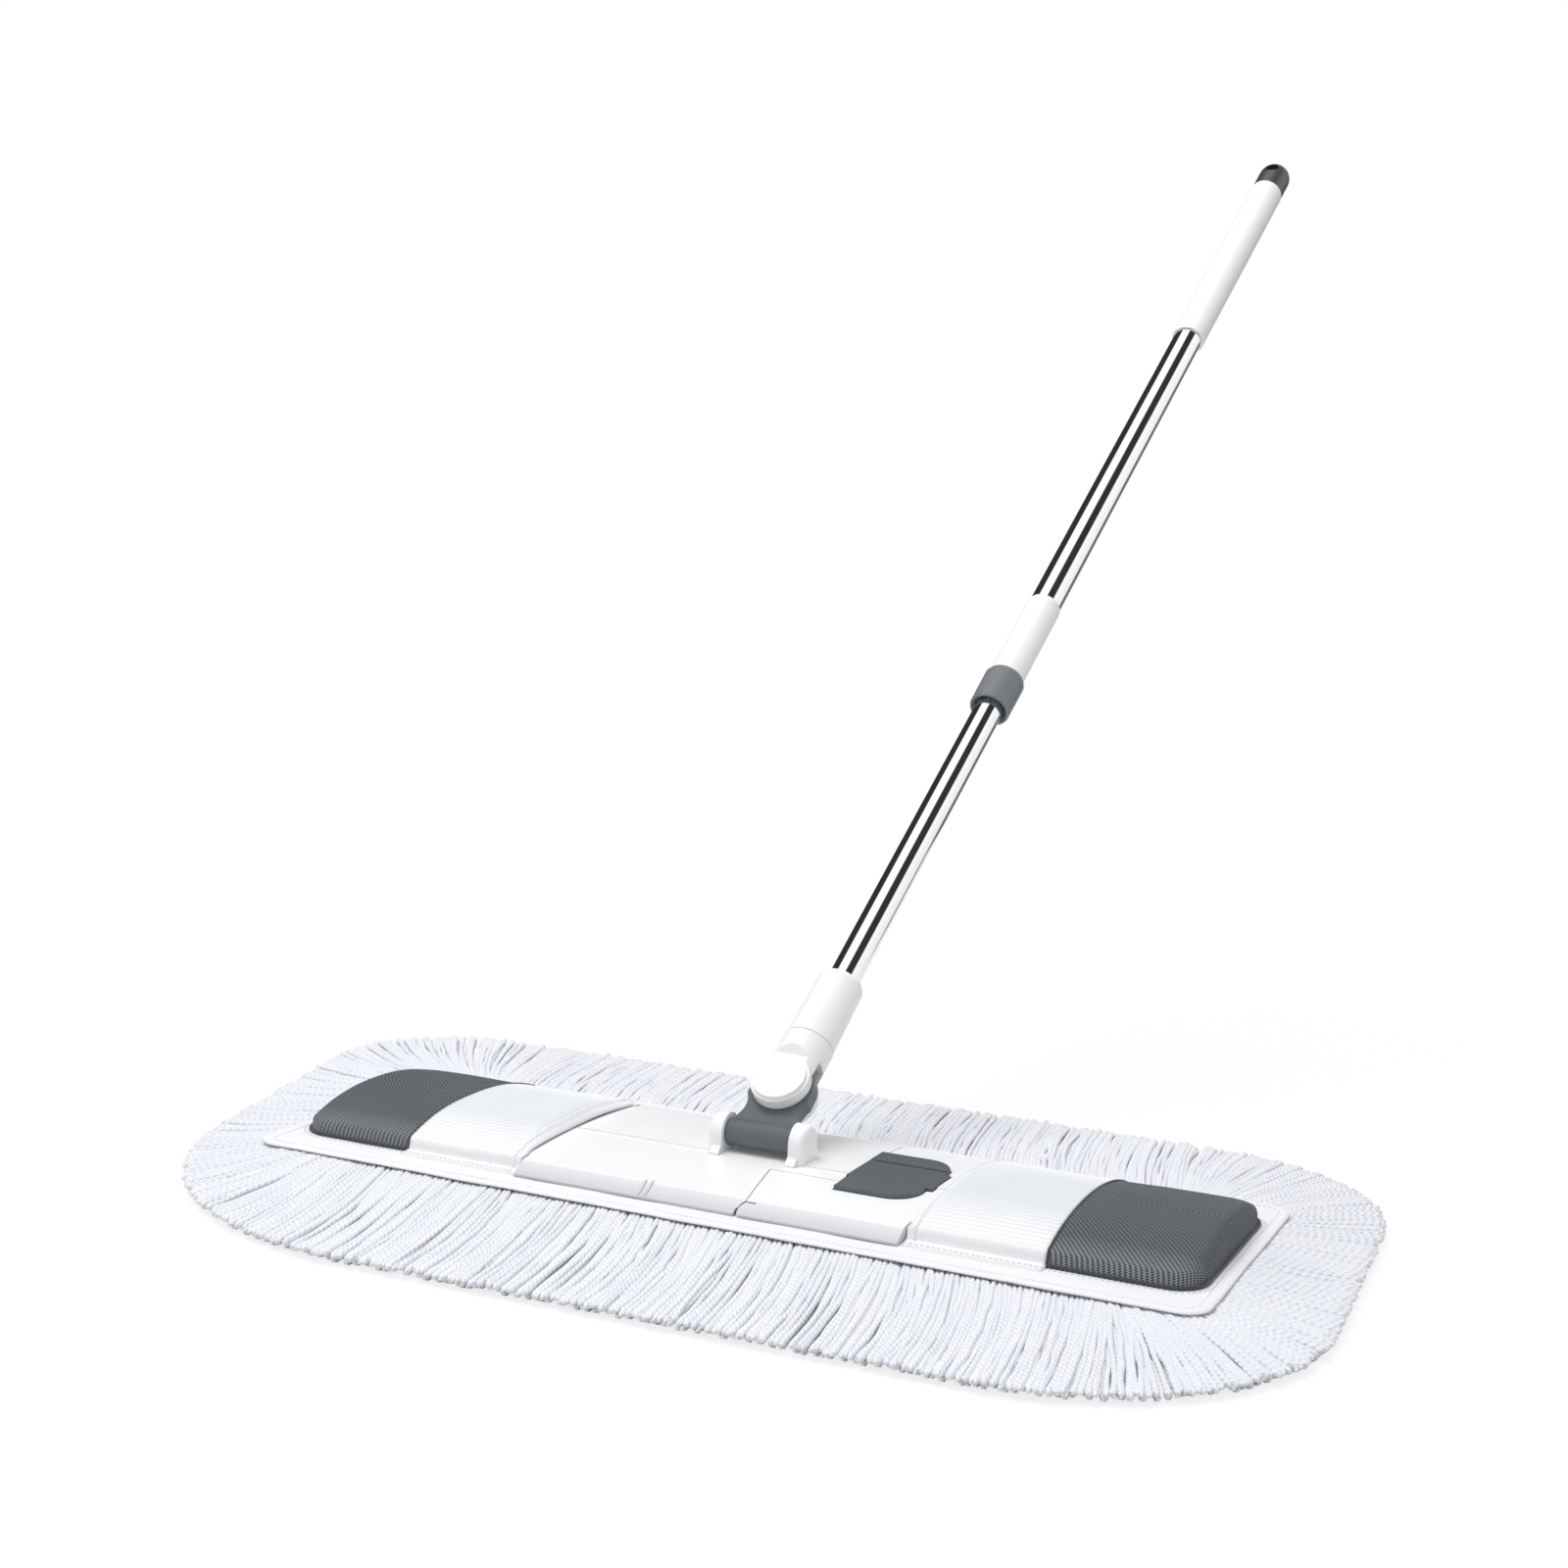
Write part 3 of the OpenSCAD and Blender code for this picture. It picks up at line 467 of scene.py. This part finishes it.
lockstitch = stitch_tree()
stitch_size = {"Pitch": 0.0030, "Length": 0.0022, "Width": 0.0006, "Material": thread_paint.material}
tape_rows = []
for inset in (0.0048, 0.0062):
    ring = rounded_ring(cloth_half[0] - inset, cloth_half[1] - inset, cloth_corner - inset, 480)
    tape_rows.append([(x, y, cloth_top + 0.0001) for x, y, _ in ring])
tape_stitches = grown("tape_stitches", tape_rows, lockstitch, stitch_size, closed=True)
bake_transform(tape_stitches)


# ---------------------------------------------------------------------------
# Pockets. Each is a sewn sleeve over one end of the frame: a white panel with
# woven ribs, a dark knitted mesh end, and a hemmed mouth. The side walls stand
# steeply and flare out into a foot that is sewn to the backing cloth.
# ---------------------------------------------------------------------------

mesh_low, mesh_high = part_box("pocket_mesh_right")
hem_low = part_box("pocket_hem_right")[0]
crest = mesh_high[2]
wall_half = mesh_high[1]
pocket_end = mesh_high[0]
foot_z = cloth_top + 0.0003
eave = foot_z + 0.0074
mouth_x = hem_low[0] + 0.0006
hem_to = mouth_x + 0.0052
mouth_run, end_round, plan_corner, wall_lean = 0.009, 0.005, 0.016, 0.0032
panel_foot, mesh_foot, hem_foot = 0.0095, 0.0022, 0.0085
panel_across, mesh_across, hem_across = 240, 80, 120
cloth_wall, hem_wall, hem_raise = 0.0014, 0.0017, 0.0007
rib_pitch, rib_height, knot_pitch = 0.0034, 0.00025, 0.0027
lump_height, end_fall = 0.00035, 0.0014
frame_mesh = nodes["frame_right"].data
frame_tree = BVHTree.FromPolygons(
    [v.co for v in frame_mesh.vertices], [tuple(p.vertices) for p in frame_mesh.polygons])
sag = {1: wave_noise(21, 8, 5.0, 22.0), -1: wave_noise(22, 8, 5.0, 22.0)}


def arch_height(y):
    """The pocket's top: an arch from eave to eave."""
    q = min(abs(y) / wall_half, 1.0)
    return eave + (crest - eave) * (1 - 0.8 * q * q - 0.2 * q ** 4)


def mouth_height(y):
    """The mouth is drawn down onto the frame's deck by its hem."""
    hit = frame_tree.ray_cast(Vector((mouth_x, y, 0.1)), Vector((0, 0, -1)))[0]
    return max(hit.z + 0.0010 if hit else 0.0, eave - 0.0008)


def plan_half(x):
    """Half the pocket's width; its closed end has round corners."""
    past = min(max(x - (pocket_end - plan_corner), 0.0), plan_corner)
    return wall_half - plan_corner + math.sqrt(plan_corner ** 2 - past ** 2)


def end_lift(x):
    """Share of the height left where the top rolls over into the end wall."""
    room = min(max((pocket_end - x) / end_round, 0.0), 1.0)
    return 0.45 + 0.55 * math.sqrt(1 - (1 - room) ** 2)


def pocket_line(x, across, foot):
    """(y, z, how far up 0..1) over the pocket at one station, front foot to back."""
    half = plan_half(x)
    edge, widen = half - wall_lean, wall_half / half
    rise = arch_height(edge * widen) - foot_z
    side = [(half + foot, 0.0), (half + 0.4 * foot, 0.07), (half + 0.0008, 0.2),
            (half + 0.0003, 0.45), (half - 0.0004, 0.75), (half - 0.0014, 0.93)]
    line = [(-y, foot_z + rise * up, up) for y, up in side]
    line += [(-edge + 2 * edge * i / across, None, 1.0) for i in range(across + 1)]
    line += [(y, foot_z + rise * up, up) for y, up in reversed(side)]
    drawn = math.sin(math.pi / 2 * min(max((x - mouth_x) / mouth_run, 0.0), 1.0))
    lift = end_lift(x)
    out = []
    for y, z, up in line:
        z = arch_height(y * widen) if z is None else z
        if drawn < 1.0:
            low = min(z, mouth_height(y))
            z = low + (z - low) * drawn
        out.append((y, foot_z + (z - foot_z) * lift, up))
    return out


def girth_of_cut(x, across, foot):
    """Length of cloth over the pocket at one station, from foot to foot."""
    line = pocket_line(x, across, foot)
    return sum(math.dist(a[:2], b[:2]) for a, b in zip(line, line[1:]))


def pocket_shell(name, side, stations, across, foot, rib, raised, thick, material):
    """One zone of a pocket as a thin sewn shell over a row of stations along X."""
    rows = []
    for x in stations:
        row = []
        for y, z, up in pocket_line(min(x, pocket_end), across, foot):
            ripple = rib * abs(math.sin(y * math.pi / rib_pitch)) * up
            lumps = lump_height * float(sag[side](x, y)) * up
            past_end = min(max((x - pocket_end) / end_fall, 0.0), 1.0)
            height = foot_z + max(z - foot_z + ripple + lumps, 0.0) * (1 - past_end)
            row.append((side * x, y, height + raised * up))
        rows.append(row)
    points = [p for row in rows for p in row]
    faces = grid_faces(len(rows), len(rows[0]))
    if side > 0:
        faces = [tuple(reversed(f)) for f in faces]
    piece = add_mesh(name, points, faces, material)
    cloth = piece.modifiers.new("cloth", "SOLIDIFY")
    cloth.thickness = thick
    cloth.offset = -1.0
    return piece


# The top of a panel is painted a shade greyer than its sides: painted shade, standing in for the light its
# sloping sides catch from the front.
panel_paint = Paint("pocket_panel", Roughness=0.85, Sheen_Weight=0.3)
px, py = panel_paint.axes()[:2]
rib_wave = abs((py * (math.pi / rib_pitch)).sin())
pick_rate = 4200.0    # radians a metre
pick = (px * pick_rate).sin() * 0.5 + 0.5
crown_shade = 1.0 - abs(py + 0.004).over(0.040, 0.034)
rib_tone = rib_wave * 0.8 + panel_paint.noise(40.0, 4.0) * 0.4
panel_paint.set(Base_Color=panel_paint.blend(
    crown_shade, panel_paint.blend(rib_tone, (0.80, 0.81, 0.83), (0.91, 0.915, 0.93)),
    panel_paint.blend(rib_tone, (0.66, 0.68, 0.715), (0.775, 0.795, 0.82))))
panel_paint.relief(rib_wave * 0.8 + pick * 0.3 + panel_paint.noise(900.0, 2.0) * 0.3, 0.0004, 0.9)

# The mesh follows the cloth down over the end and the sides. Its steep front and back
# sides are painted lighter than its top: painted light, standing in for the light those slopes catch.
mesh_paint = Paint("pocket_mesh", Specular_IOR_Level=0.3)
mx, my, mz = mesh_paint.axes()
down_end, down_side = abs(mx) - mz, (abs(my) - mz) * 0.9
knot_rate = math.pi / knot_pitch
cell = (abs(((down_end + down_side) * knot_rate).sin())
        * abs(((down_end - down_side) * knot_rate).sin()))
hole = cell.over(0.50, 0.45)
mesh_tone = mesh_paint.noise(18.0, 4.0)
painted_side_light = abs(my).over(0.057, 0.014)
thread = mesh_paint.blend(mesh_tone, (0.135, 0.146, 0.162), (0.165, 0.177, 0.194))
thread = mesh_paint.blend(painted_side_light, thread, (0.25, 0.262, 0.28))
mesh_paint.set(Base_Color=mesh_paint.blend(hole, thread, (0.040, 0.043, 0.049)),
               Roughness=hole * 0.3 + 0.6)
mesh_paint.relief(1.0 - hole, 0.0004, 0.8)

piping_paint = Paint("mesh_piping", Roughness=0.7, Sheen_Weight=0.2)
piping_paint.set(Base_Color=piping_paint.blend(
    piping_paint.noise(900.0, 2.0), (0.030, 0.033, 0.038), (0.065, 0.070, 0.078)))
piping_paint.relief(piping_paint.noise(1400.0, 2.0), 0.0002, 0.6)


def tube_along(name, path, radius, material, sides=10):
    """A closed-ended round cord along a path of points."""
    path = [Vector(p) for p in path]
    points, faces = [], []
    for i, p in enumerate(path):
        ahead = (path[min(i + 1, len(path) - 1)] - path[max(i - 1, 0)]).normalized()
        side = ahead.cross(Vector((0, 0, 1)))
        side = side.normalized() if side.length > 1e-6 else Vector((1, 0, 0))
        up = side.cross(ahead)
        for k in range(sides):
            a = 2 * math.pi * k / sides
            points.append(p + side * math.cos(a) * radius + up * math.sin(a) * radius)
    faces = [tuple(reversed(f)) for f in grid_faces(len(path), sides, wrap=True)]
    faces.append(tuple(range(sides)))
    faces.append(tuple(range(len(points) - 1, len(points) - sides - 1, -1)))
    return add_mesh(name, points, faces, material)


def foot_outline(offset):
    """The closed end's plan at its foot, front to back, moved out by an offset."""
    bend, radius = pocket_end - plan_corner, plan_corner + offset
    flat = wall_half - plan_corner
    front = [(bend + radius * math.cos(a), -flat + radius * math.sin(a))
             for a in np.linspace(-math.pi / 2, 0, 12)]
    start = [(x, -wall_half - offset) for x in np.linspace(mesh_low[0], bend, 16)[:-1]]
    across = [(pocket_end + offset, y) for y in np.linspace(-flat, flat, 24)[1:-1]]
    return start + front + across + [(x, -y) for x, y in reversed(start + front)]


panel_from, seam_x, row_offset = mouth_x + mouth_run, mesh_low[0] + 0.0008, 0.0050
seam_radius, piping_radius = 0.0006, 0.0010
panel_stations = list(np.linspace(hem_to - 0.0008, panel_from, 6)[:-1])
panel_stations += list(np.linspace(panel_from, mesh_low[0] + 0.0006, 26))
corner_turn = np.linspace(0, math.pi / 2, 14)
mesh_stations = list(np.linspace(mesh_low[0], pocket_end - plan_corner, 20)[:-1])
mesh_stations += [pocket_end - plan_corner * (1 - math.sin(t)) for t in corner_turn]
mesh_stations += [pocket_end + 0.0004, pocket_end + end_fall]
for side, word in ((-1, "left"), (1, "right")):
    panel = pocket_shell("pocket_panel_cloth_" + word, side, panel_stations, panel_across,
                         panel_foot, rib_height, 0.0, cloth_wall, panel_paint.material)
    mesh_end = pocket_shell("pocket_mesh_cloth_" + word, side, mesh_stations, mesh_across,
                            mesh_foot, 0.0, 0.0, cloth_wall, mesh_paint.material)
    hem = pocket_shell("pocket_hem_cloth_" + word, side, np.linspace(mouth_x, hem_to, 7), hem_across,
                       hem_foot, 0.0, hem_raise, hem_wall, cloth_paint.material)
    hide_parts("pocket_panel_" + word)
    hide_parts("pocket_mesh_" + word)
    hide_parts("pocket_hem_" + word)

    seam_line = [(side * seam_x, y, z + 0.0001) for y, z, _ in pocket_line(seam_x, 60, mesh_foot)]
    seam = tube_along("mesh_seam_" + word, seam_line, seam_radius, piping_paint.material)
    piping_line = [(side * x, y, foot_z + 0.0007) for x, y in foot_outline(0.0011)]
    piping = tube_along("mesh_piping_" + word, piping_line, piping_radius, piping_paint.material)

    mouth_line = pocket_line(hem_to, 60, hem_foot)[2:-2]
    rows = [[(side * (hem_to - 0.0012), y, z + 0.0008) for y, z, _ in mouth_line]]
    rows += [[(side * x, way * (wall_half + row_offset), foot_z + 0.0009)
              for x in np.linspace(mouth_x + 0.004, mesh_low[0], 20)] for way in (-1, 1)]
    rows.append([(side * x, y, cloth_top + 0.0003) for x, y in foot_outline(0.0046)])
    sewing = grown("pocket_stitches_" + word, rows, lockstitch, stitch_size)

    for piece, finish in ((panel, "pocket_cloth"), (mesh_end, "pocket_mesh"), (hem, "pocket_cloth"),
                          (seam, "pocket_mesh"), (piping, "pocket_mesh"), (sewing, "pocket_cloth")):
        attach(piece, "mop_" + word)
    panel_cut = (mesh_low[0] - hem_to, girth_of_cut(mesh_low[0], panel_across, panel_foot))
    end_flap = crest - foot_z
    mesh_cut = (pocket_end - mesh_low[0] + end_flap, girth_of_cut(mesh_low[0], mesh_across, mesh_foot))


# ---------------------------------------------------------------------------
# Fringe. Soft twisted cotton yarn, sewn across the underside of the cloth and
# cut off all round; it lies in three layers, bunches a little, and sweeps to
# one side as it leaves the cloth.
# ---------------------------------------------------------------------------

fringe_names = ("fringe_left", "fringe_mid", "fringe_right")
rim = np.array([tuple(v.co)[:2] for n in fringe_names for v in nodes[n].data.vertices])
rim_angles = np.linspace(-math.pi, math.pi, 721)
rim_dirs = np.stack([np.cos(rim_angles), np.sin(rim_angles)], axis=1)
rim_reach = (rim @ rim_dirs.T).max(axis=0)
yarn_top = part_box("fringe_left")[1][2]


def beyond(x, y, dx, dy):
    """How far a ray from (x, y) along (dx, dy) runs inside the fringe's outline."""
    rate = rim_dirs @ np.array((dx, dy))
    room = rim_reach - rim_dirs @ np.array((x, y))
    ahead = rate > 1e-6
    return float((room[ahead] / rate[ahead]).min())


def yarn_tree():
    """Turns the paths into round yarn; girth and twist start are stored on them."""
    tree, start = new_tree("twisted_yarn", Sides="Int", Material="Material")

    def stored(name):
        return add_node(tree, "GeometryNodeInputNamedAttribute", {"data_type": "FLOAT"},
                        {"Name": name}, "Attribute")

    def store(geometry, name, value):
        return add_node(tree, "GeometryNodeStoreNamedAttribute", {"data_type": "FLOAT", "domain": "POINT"},
                        {"Geometry": geometry, "Name": name, "Value": value})

    spline = add_node(tree, "GeometryNodeSplineParameter", output="Factor")
    line = add_node(tree, "GeometryNodeMeshToCurve", sockets={"Mesh": start})
    line = store(line, "reach", spline.other("Length") + stored("start"))
    turn = spline * (2 * math.pi)
    ring = add_node(tree, "GeometryNodeCurvePrimitiveCircle", sockets={
        "Resolution": start.other("Sides"), "Radius": 1.0})
    ring = store(store(ring, "turn_sine", turn.sin()), "turn_cosine", turn.cos())
    body = add_node(tree, "GeometryNodeCurveToMesh", sockets={
        "Curve": line, "Profile Curve": ring, "Scale": stored("girth"), "Fill Caps": True})
    return end_tree(tree, start, add_node(tree, "GeometryNodeSetShadeSmooth", sockets={"Geometry": body}))


twist_pitch = 0.0090
yarn_paint = Paint("cotton_yarn", Roughness=0.92, Sheen_Weight=0.35)
lay = yarn_paint.stored("reach") * (2 * math.pi / twist_pitch)
twist = yarn_paint.stored("turn_sine") * lay.cos() + yarn_paint.stored("turn_cosine") * lay.sin()
ply_lines = twist * twist
fuzz = yarn_paint.noise(1600.0, 3.0)
tint = yarn_paint.noise(34.0, 4.0)
yarn_paint.set(Base_Color=yarn_paint.blend(
    ply_lines * 0.75 + tint * 0.35, (0.80, 0.82, 0.885), (0.93, 0.94, 0.965)))
yarn_paint.relief(ply_lines + fuzz * 0.6, 0.0007, 0.8)
yarn_nodes = yarn_tree()


rng = np.random.default_rng(7)
sweep = math.radians(13)
root_inset, root_corner, corner_fan = 0.012, 0.045, 0.08
root_half = (cloth_half[0] - root_inset, cloth_half[1] - root_inset)
clump = wave_noise(11, 6, 6.0, 30.0)
layers = [
    # (strands, height at the cloth, height at the tip, girth, shorter by)
    (680, 0.0082, 0.0046, 0.00150, 0.000),
    (680, 0.0070, 0.0036, 0.00148, 0.001),
    (380, 0.0044, 0.0018, 0.00160, 0.003),
]
shares = [0.98 * k / 13 for k in range(14)] + [1.0]
# The cut end flares out and closes: girth over the last three points.
tip_swell = [1.0] * (len(shares) - 3) + [1.06, 1.22, 0.5]
# How unevenly the strands lie: turns in radians, then lengths in metres.
bunch_turn, waver_turn, stray_turn = 0.022, 0.008, 0.008
uneven_cut, wag_width, crimp_width, lie_height = 0.0018, 0.0005, 0.00022, 0.0004
root_tuck, puff_height = 0.010, 0.0010
zone_paths = {"left": [], "mid": [], "right": []}
zone_stored = {zone: {"girth": [], "start": []} for zone in zone_paths}


def keep_strand(path, girths):
    """Files a strand under the zone that it is sewn to, with its own twist start."""
    x = path[0][0]
    zone = "left" if x < bend_from[0] else "mid" if x < bend_to[0] else "right"
    zone_paths[zone].append(path)
    zone_stored[zone]["girth"] += girths
    zone_stored[zone]["start"] += [0.0013 * (len(zone_paths[zone]) * 7 % 11)] * len(path)


def strand(x, y, turn, fine, layer):
    """One strand that hangs from its root at (x, y) and leaves the cloth along turn."""
    _, root_z, tip_z, girth, shorter = layer
    bunch = float(clump(x * 1.4 + tip_z * 40, y * 1.4))
    out = turn + (sweep + bunch_turn * bunch + waver_turn * math.sin(fine + 5 * bunch)
                  + rng.normal(0, stray_turn))
    reach = beyond(x, y, math.cos(out), math.sin(out)) - shorter - abs(rng.normal(0, uneven_cut))
    swirl = 0.14 + 0.05 * bunch
    wag, crimp = rng.normal(0, wag_width), rng.normal(0, crimp_width)
    phase, lie = rng.uniform(0, 2 * math.pi), rng.normal(0, lie_height)
    path, girths = [], []
    for t, swell_here in zip(shares, tip_swell):
        aside = swirl * reach * t * (1 - t) + (
            wag * math.sin(2 * math.pi * 1.3 * t + phase) + crimp * math.sin(26 * t + 2 * phase))
        ahead = reach * t - root_tuck * (1 - t)
        puff = puff_height * math.sin(math.pi * min(t * 1.6, 1.0))
        z = root_z + (tip_z - root_z) * t ** 1.4 + (puff + lie) * (0.25 + 0.75 * min(1, 3 * t))
        path.append((x + math.cos(out) * ahead - math.sin(out) * aside,
                     y + math.sin(out) * ahead + math.cos(out) * aside,
                     min(max(z, girth * 1.02), yarn_top - girth * 0.9)))
        girths.append(girth * (1.0 + 0.06 * math.sin(5 * t + phase)) * swell_here)
    keep_strand(path, girths)


# Roots: evenly spaced along the straight edges and closer round the corners,
# where the strands fan out.
fine_ring = rounded_ring(root_half[0], root_half[1], root_corner, 4000)
turns = np.unwrap([turn for _, _, turn in fine_ring])
ring_steps = np.array([math.dist(a[:2], b[:2]) for a, b in zip(fine_ring, fine_ring[1:])])
measure = np.concatenate([[0.0], np.cumsum(ring_steps + corner_fan * np.abs(np.diff(turns)))])
for level, layer in enumerate(layers):
    marks = (np.arange(layer[0]) + 0.5 * level) / layer[0] * measure[-1]
    for i, spot in enumerate(np.searchsorted(measure, marks).clip(0, len(fine_ring) - 1)):
        strand(*fine_ring[spot], i * 2 * math.pi / 4.6, layer)

# The same yarn crosses the sole from one long edge to the other, between rows of sewing.
cross_girth, cross_pitch, cross_points = 0.0021, 0.0042, 13
cross_sway, cross_lift = 0.0016, 0.0007
for level in (0.0024, 0.0058):
    count = int(2 * root_half[0] / cross_pitch)
    for i in range(count + 1):
        x = -root_half[0] + 2 * root_half[0] * i / count
        phase = rng.uniform(0, 2 * math.pi)
        path = []
        for k in range(cross_points):
            y = -root_half[1] + 2 * root_half[1] * k / (cross_points - 1)
            path.append((x + cross_sway * math.sin(9 * y * 4 + phase), y,
                         level + cross_lift * math.sin(k * 1.57 + phase * 0.2)))
        keep_strand(path, [cross_girth] * cross_points)

for zone, strands in zone_paths.items():
    piece = grown("yarn_" + zone, strands, yarn_nodes,
                  {"Sides": 6, "Material": yarn_paint.material}, stored=zone_stored[zone])
    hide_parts("fringe_" + zone)
    if zone == "mid":
        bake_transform(piece)
    else:
        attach(piece, "mop_" + zone)


# ---------------------------------------------------------------------------
# Stage: a pale seamless floor, a big soft light overhead, a fill from the
# front, and the camera low in front of the mop, a little to its right.
# ---------------------------------------------------------------------------

scene = bpy.context.scene
scene.view_settings.view_transform = "Standard"


def clear_tree(owner):
    """The emptied node tree of a material or a world."""
    owner.use_nodes = True
    owner.node_tree.nodes.clear()
    return owner.node_tree


floor_look = bpy.data.materials.new("studio_floor")
tree = clear_tree(floor_look)
spot = add_node(tree, "ShaderNodeTexCoord", output="Object")
far = add_node(tree, "ShaderNodeVectorMath", {"operation": "LENGTH"}, {0: spot}, "Value")
seen = add_node(tree, "ShaderNodeLightPath", output="Is Camera Ray")
dull = add_node(tree, "ShaderNodeBsdfDiffuse", sockets={"Color": (0.88, 0.88, 0.885)})
glow = add_node(tree, "ShaderNodeEmission", sockets={"Color": (1, 1, 1)})
# To the camera the floor is mostly glow, and wholly so away from the mop.
glow_share = seen * (far.over(0.6, 0.5) * 0.2 + 0.8)
both = add_node(tree, "ShaderNodeMixShader", sockets={0: glow_share, 1: dull, 2: glow})
add_node(tree, "ShaderNodeOutputMaterial", sockets={"Surface": both})
floor_radius, floor_z = 1.0, -0.0006
floor_rim = [(floor_radius * math.cos(a), floor_radius * math.sin(a), floor_z)
             for a in np.linspace(0, 2 * math.pi, 96, endpoint=False)]
add_mesh("floor", floor_rim, [tuple(range(len(floor_rim)))], floor_look, smooth=False)

scene.world = bpy.data.worlds.new("studio")
sky = clear_tree(scene.world)
ray = add_node(sky, "ShaderNodeTexCoord", output="Generated")
camera_ray = add_node(sky, "ShaderNodeLightPath", output="Is Camera Ray")
glossy_ray = camera_ray.other("Is Glossy Ray")


def toward(direction):
    """Cosine between a ray's direction and another one."""
    spot = {0: ray, 1: Vector(direction).normalized()}
    return add_node(sky, "ShaderNodeVectorMath", {"operation": "DOT_PRODUCT"}, spot, "Value")


# Black screens hang beside the pole and over it, parallel to it, so that its
# polished tubes show dark lines between bright ones.
azimuth, pitch, roll = math.radians(25.31), math.radians(6.56), math.radians(-1.94)
forward = Vector((-math.sin(azimuth) * math.cos(pitch),
                  math.cos(azimuth) * math.cos(pitch), -math.sin(pitch)))
facing = (pole_way * forward.dot(pole_way) - forward).normalized()
to_front, to_side = toward(facing), toward(pole_way.cross(facing))
round_pole = to_front / ((to_front * to_front + to_side * to_side) ** 0.5 + 0.001)
past_pole = 0.0 - round_pole
screen_left = past_pole.over(-0.10, 0.06) * (0.0 - to_side).over(0.0, 0.04)
screen_right = past_pole.over(0.15, 0.06) * round_pole.over(-0.80, 0.06)
screen_right = screen_right * to_side.over(0.0, 0.04) * 0.85
screens = screen_left + screen_right + round_pole.over(0.905, 0.04)
screens = screens.math("MINIMUM", screens, 1.0)
# A soft sky lights the mop, its metal mirrors the screened one, and the camera sees white.
height = toward((0, 0, 1))
studio = height * 0.26 + 0.48
reflected = (1.0 - screens * 0.97) * (height * 0.25 + 0.95)
level = camera_ray + (1.0 - camera_ray) * (glossy_ray * reflected + (1.0 - glossy_ray) * studio)
backdrop = add_node(sky, "ShaderNodeBackground", sockets={"Color": (1, 1, 1), "Strength": level})
add_node(sky, "ShaderNodeOutputWorld", sockets={"Surface": backdrop})


def soft_light(name, place, aim, size, power, color=(1, 1, 1)):
    """A round area light that polished metal doesn't mirror."""
    lamp = bpy.data.lights.new(name, "AREA")
    lamp.shape, lamp.size, lamp.energy, lamp.color = "DISK", size, power, color
    light = bpy.data.objects.new(name, lamp)
    light.location = place
    light.rotation_euler = (Vector(aim) - Vector(place)).to_track_quat("-Z", "Y").to_euler()
    light.visible_glossy = False
    scene.collection.objects.link(light)


soft_light("overhead", (-0.5, -0.1, 2.2), (0, 0.1, 0), 1.6, 32.0)
soft_light("front_fill", (-0.6, -1.9, 0.9), (0, 0, 0), 1.2, 1.5, (0.97, 0.985, 1.0))

level_right = Vector((math.cos(azimuth), math.sin(azimuth), 0.0))
level_down = forward.cross(level_right)
right = level_right * math.cos(roll) + level_down * math.sin(roll)
down = level_down * math.cos(roll) - level_right * math.sin(roll)
camera_data = bpy.data.cameras.new("camera")
camera_data.lens, camera_data.sensor_width, camera_data.clip_end = 50.0, 36.0, 50.0
camera = bpy.data.objects.new("camera", camera_data)
scene.collection.objects.link(camera)
turn_matrix = Matrix((right, -down, -forward)).transposed().to_4x4()
eye = (0.50708, -1.06042, 0.36475)
camera.matrix_world = Matrix.Translation(eye) @ turn_matrix
scene.camera = camera
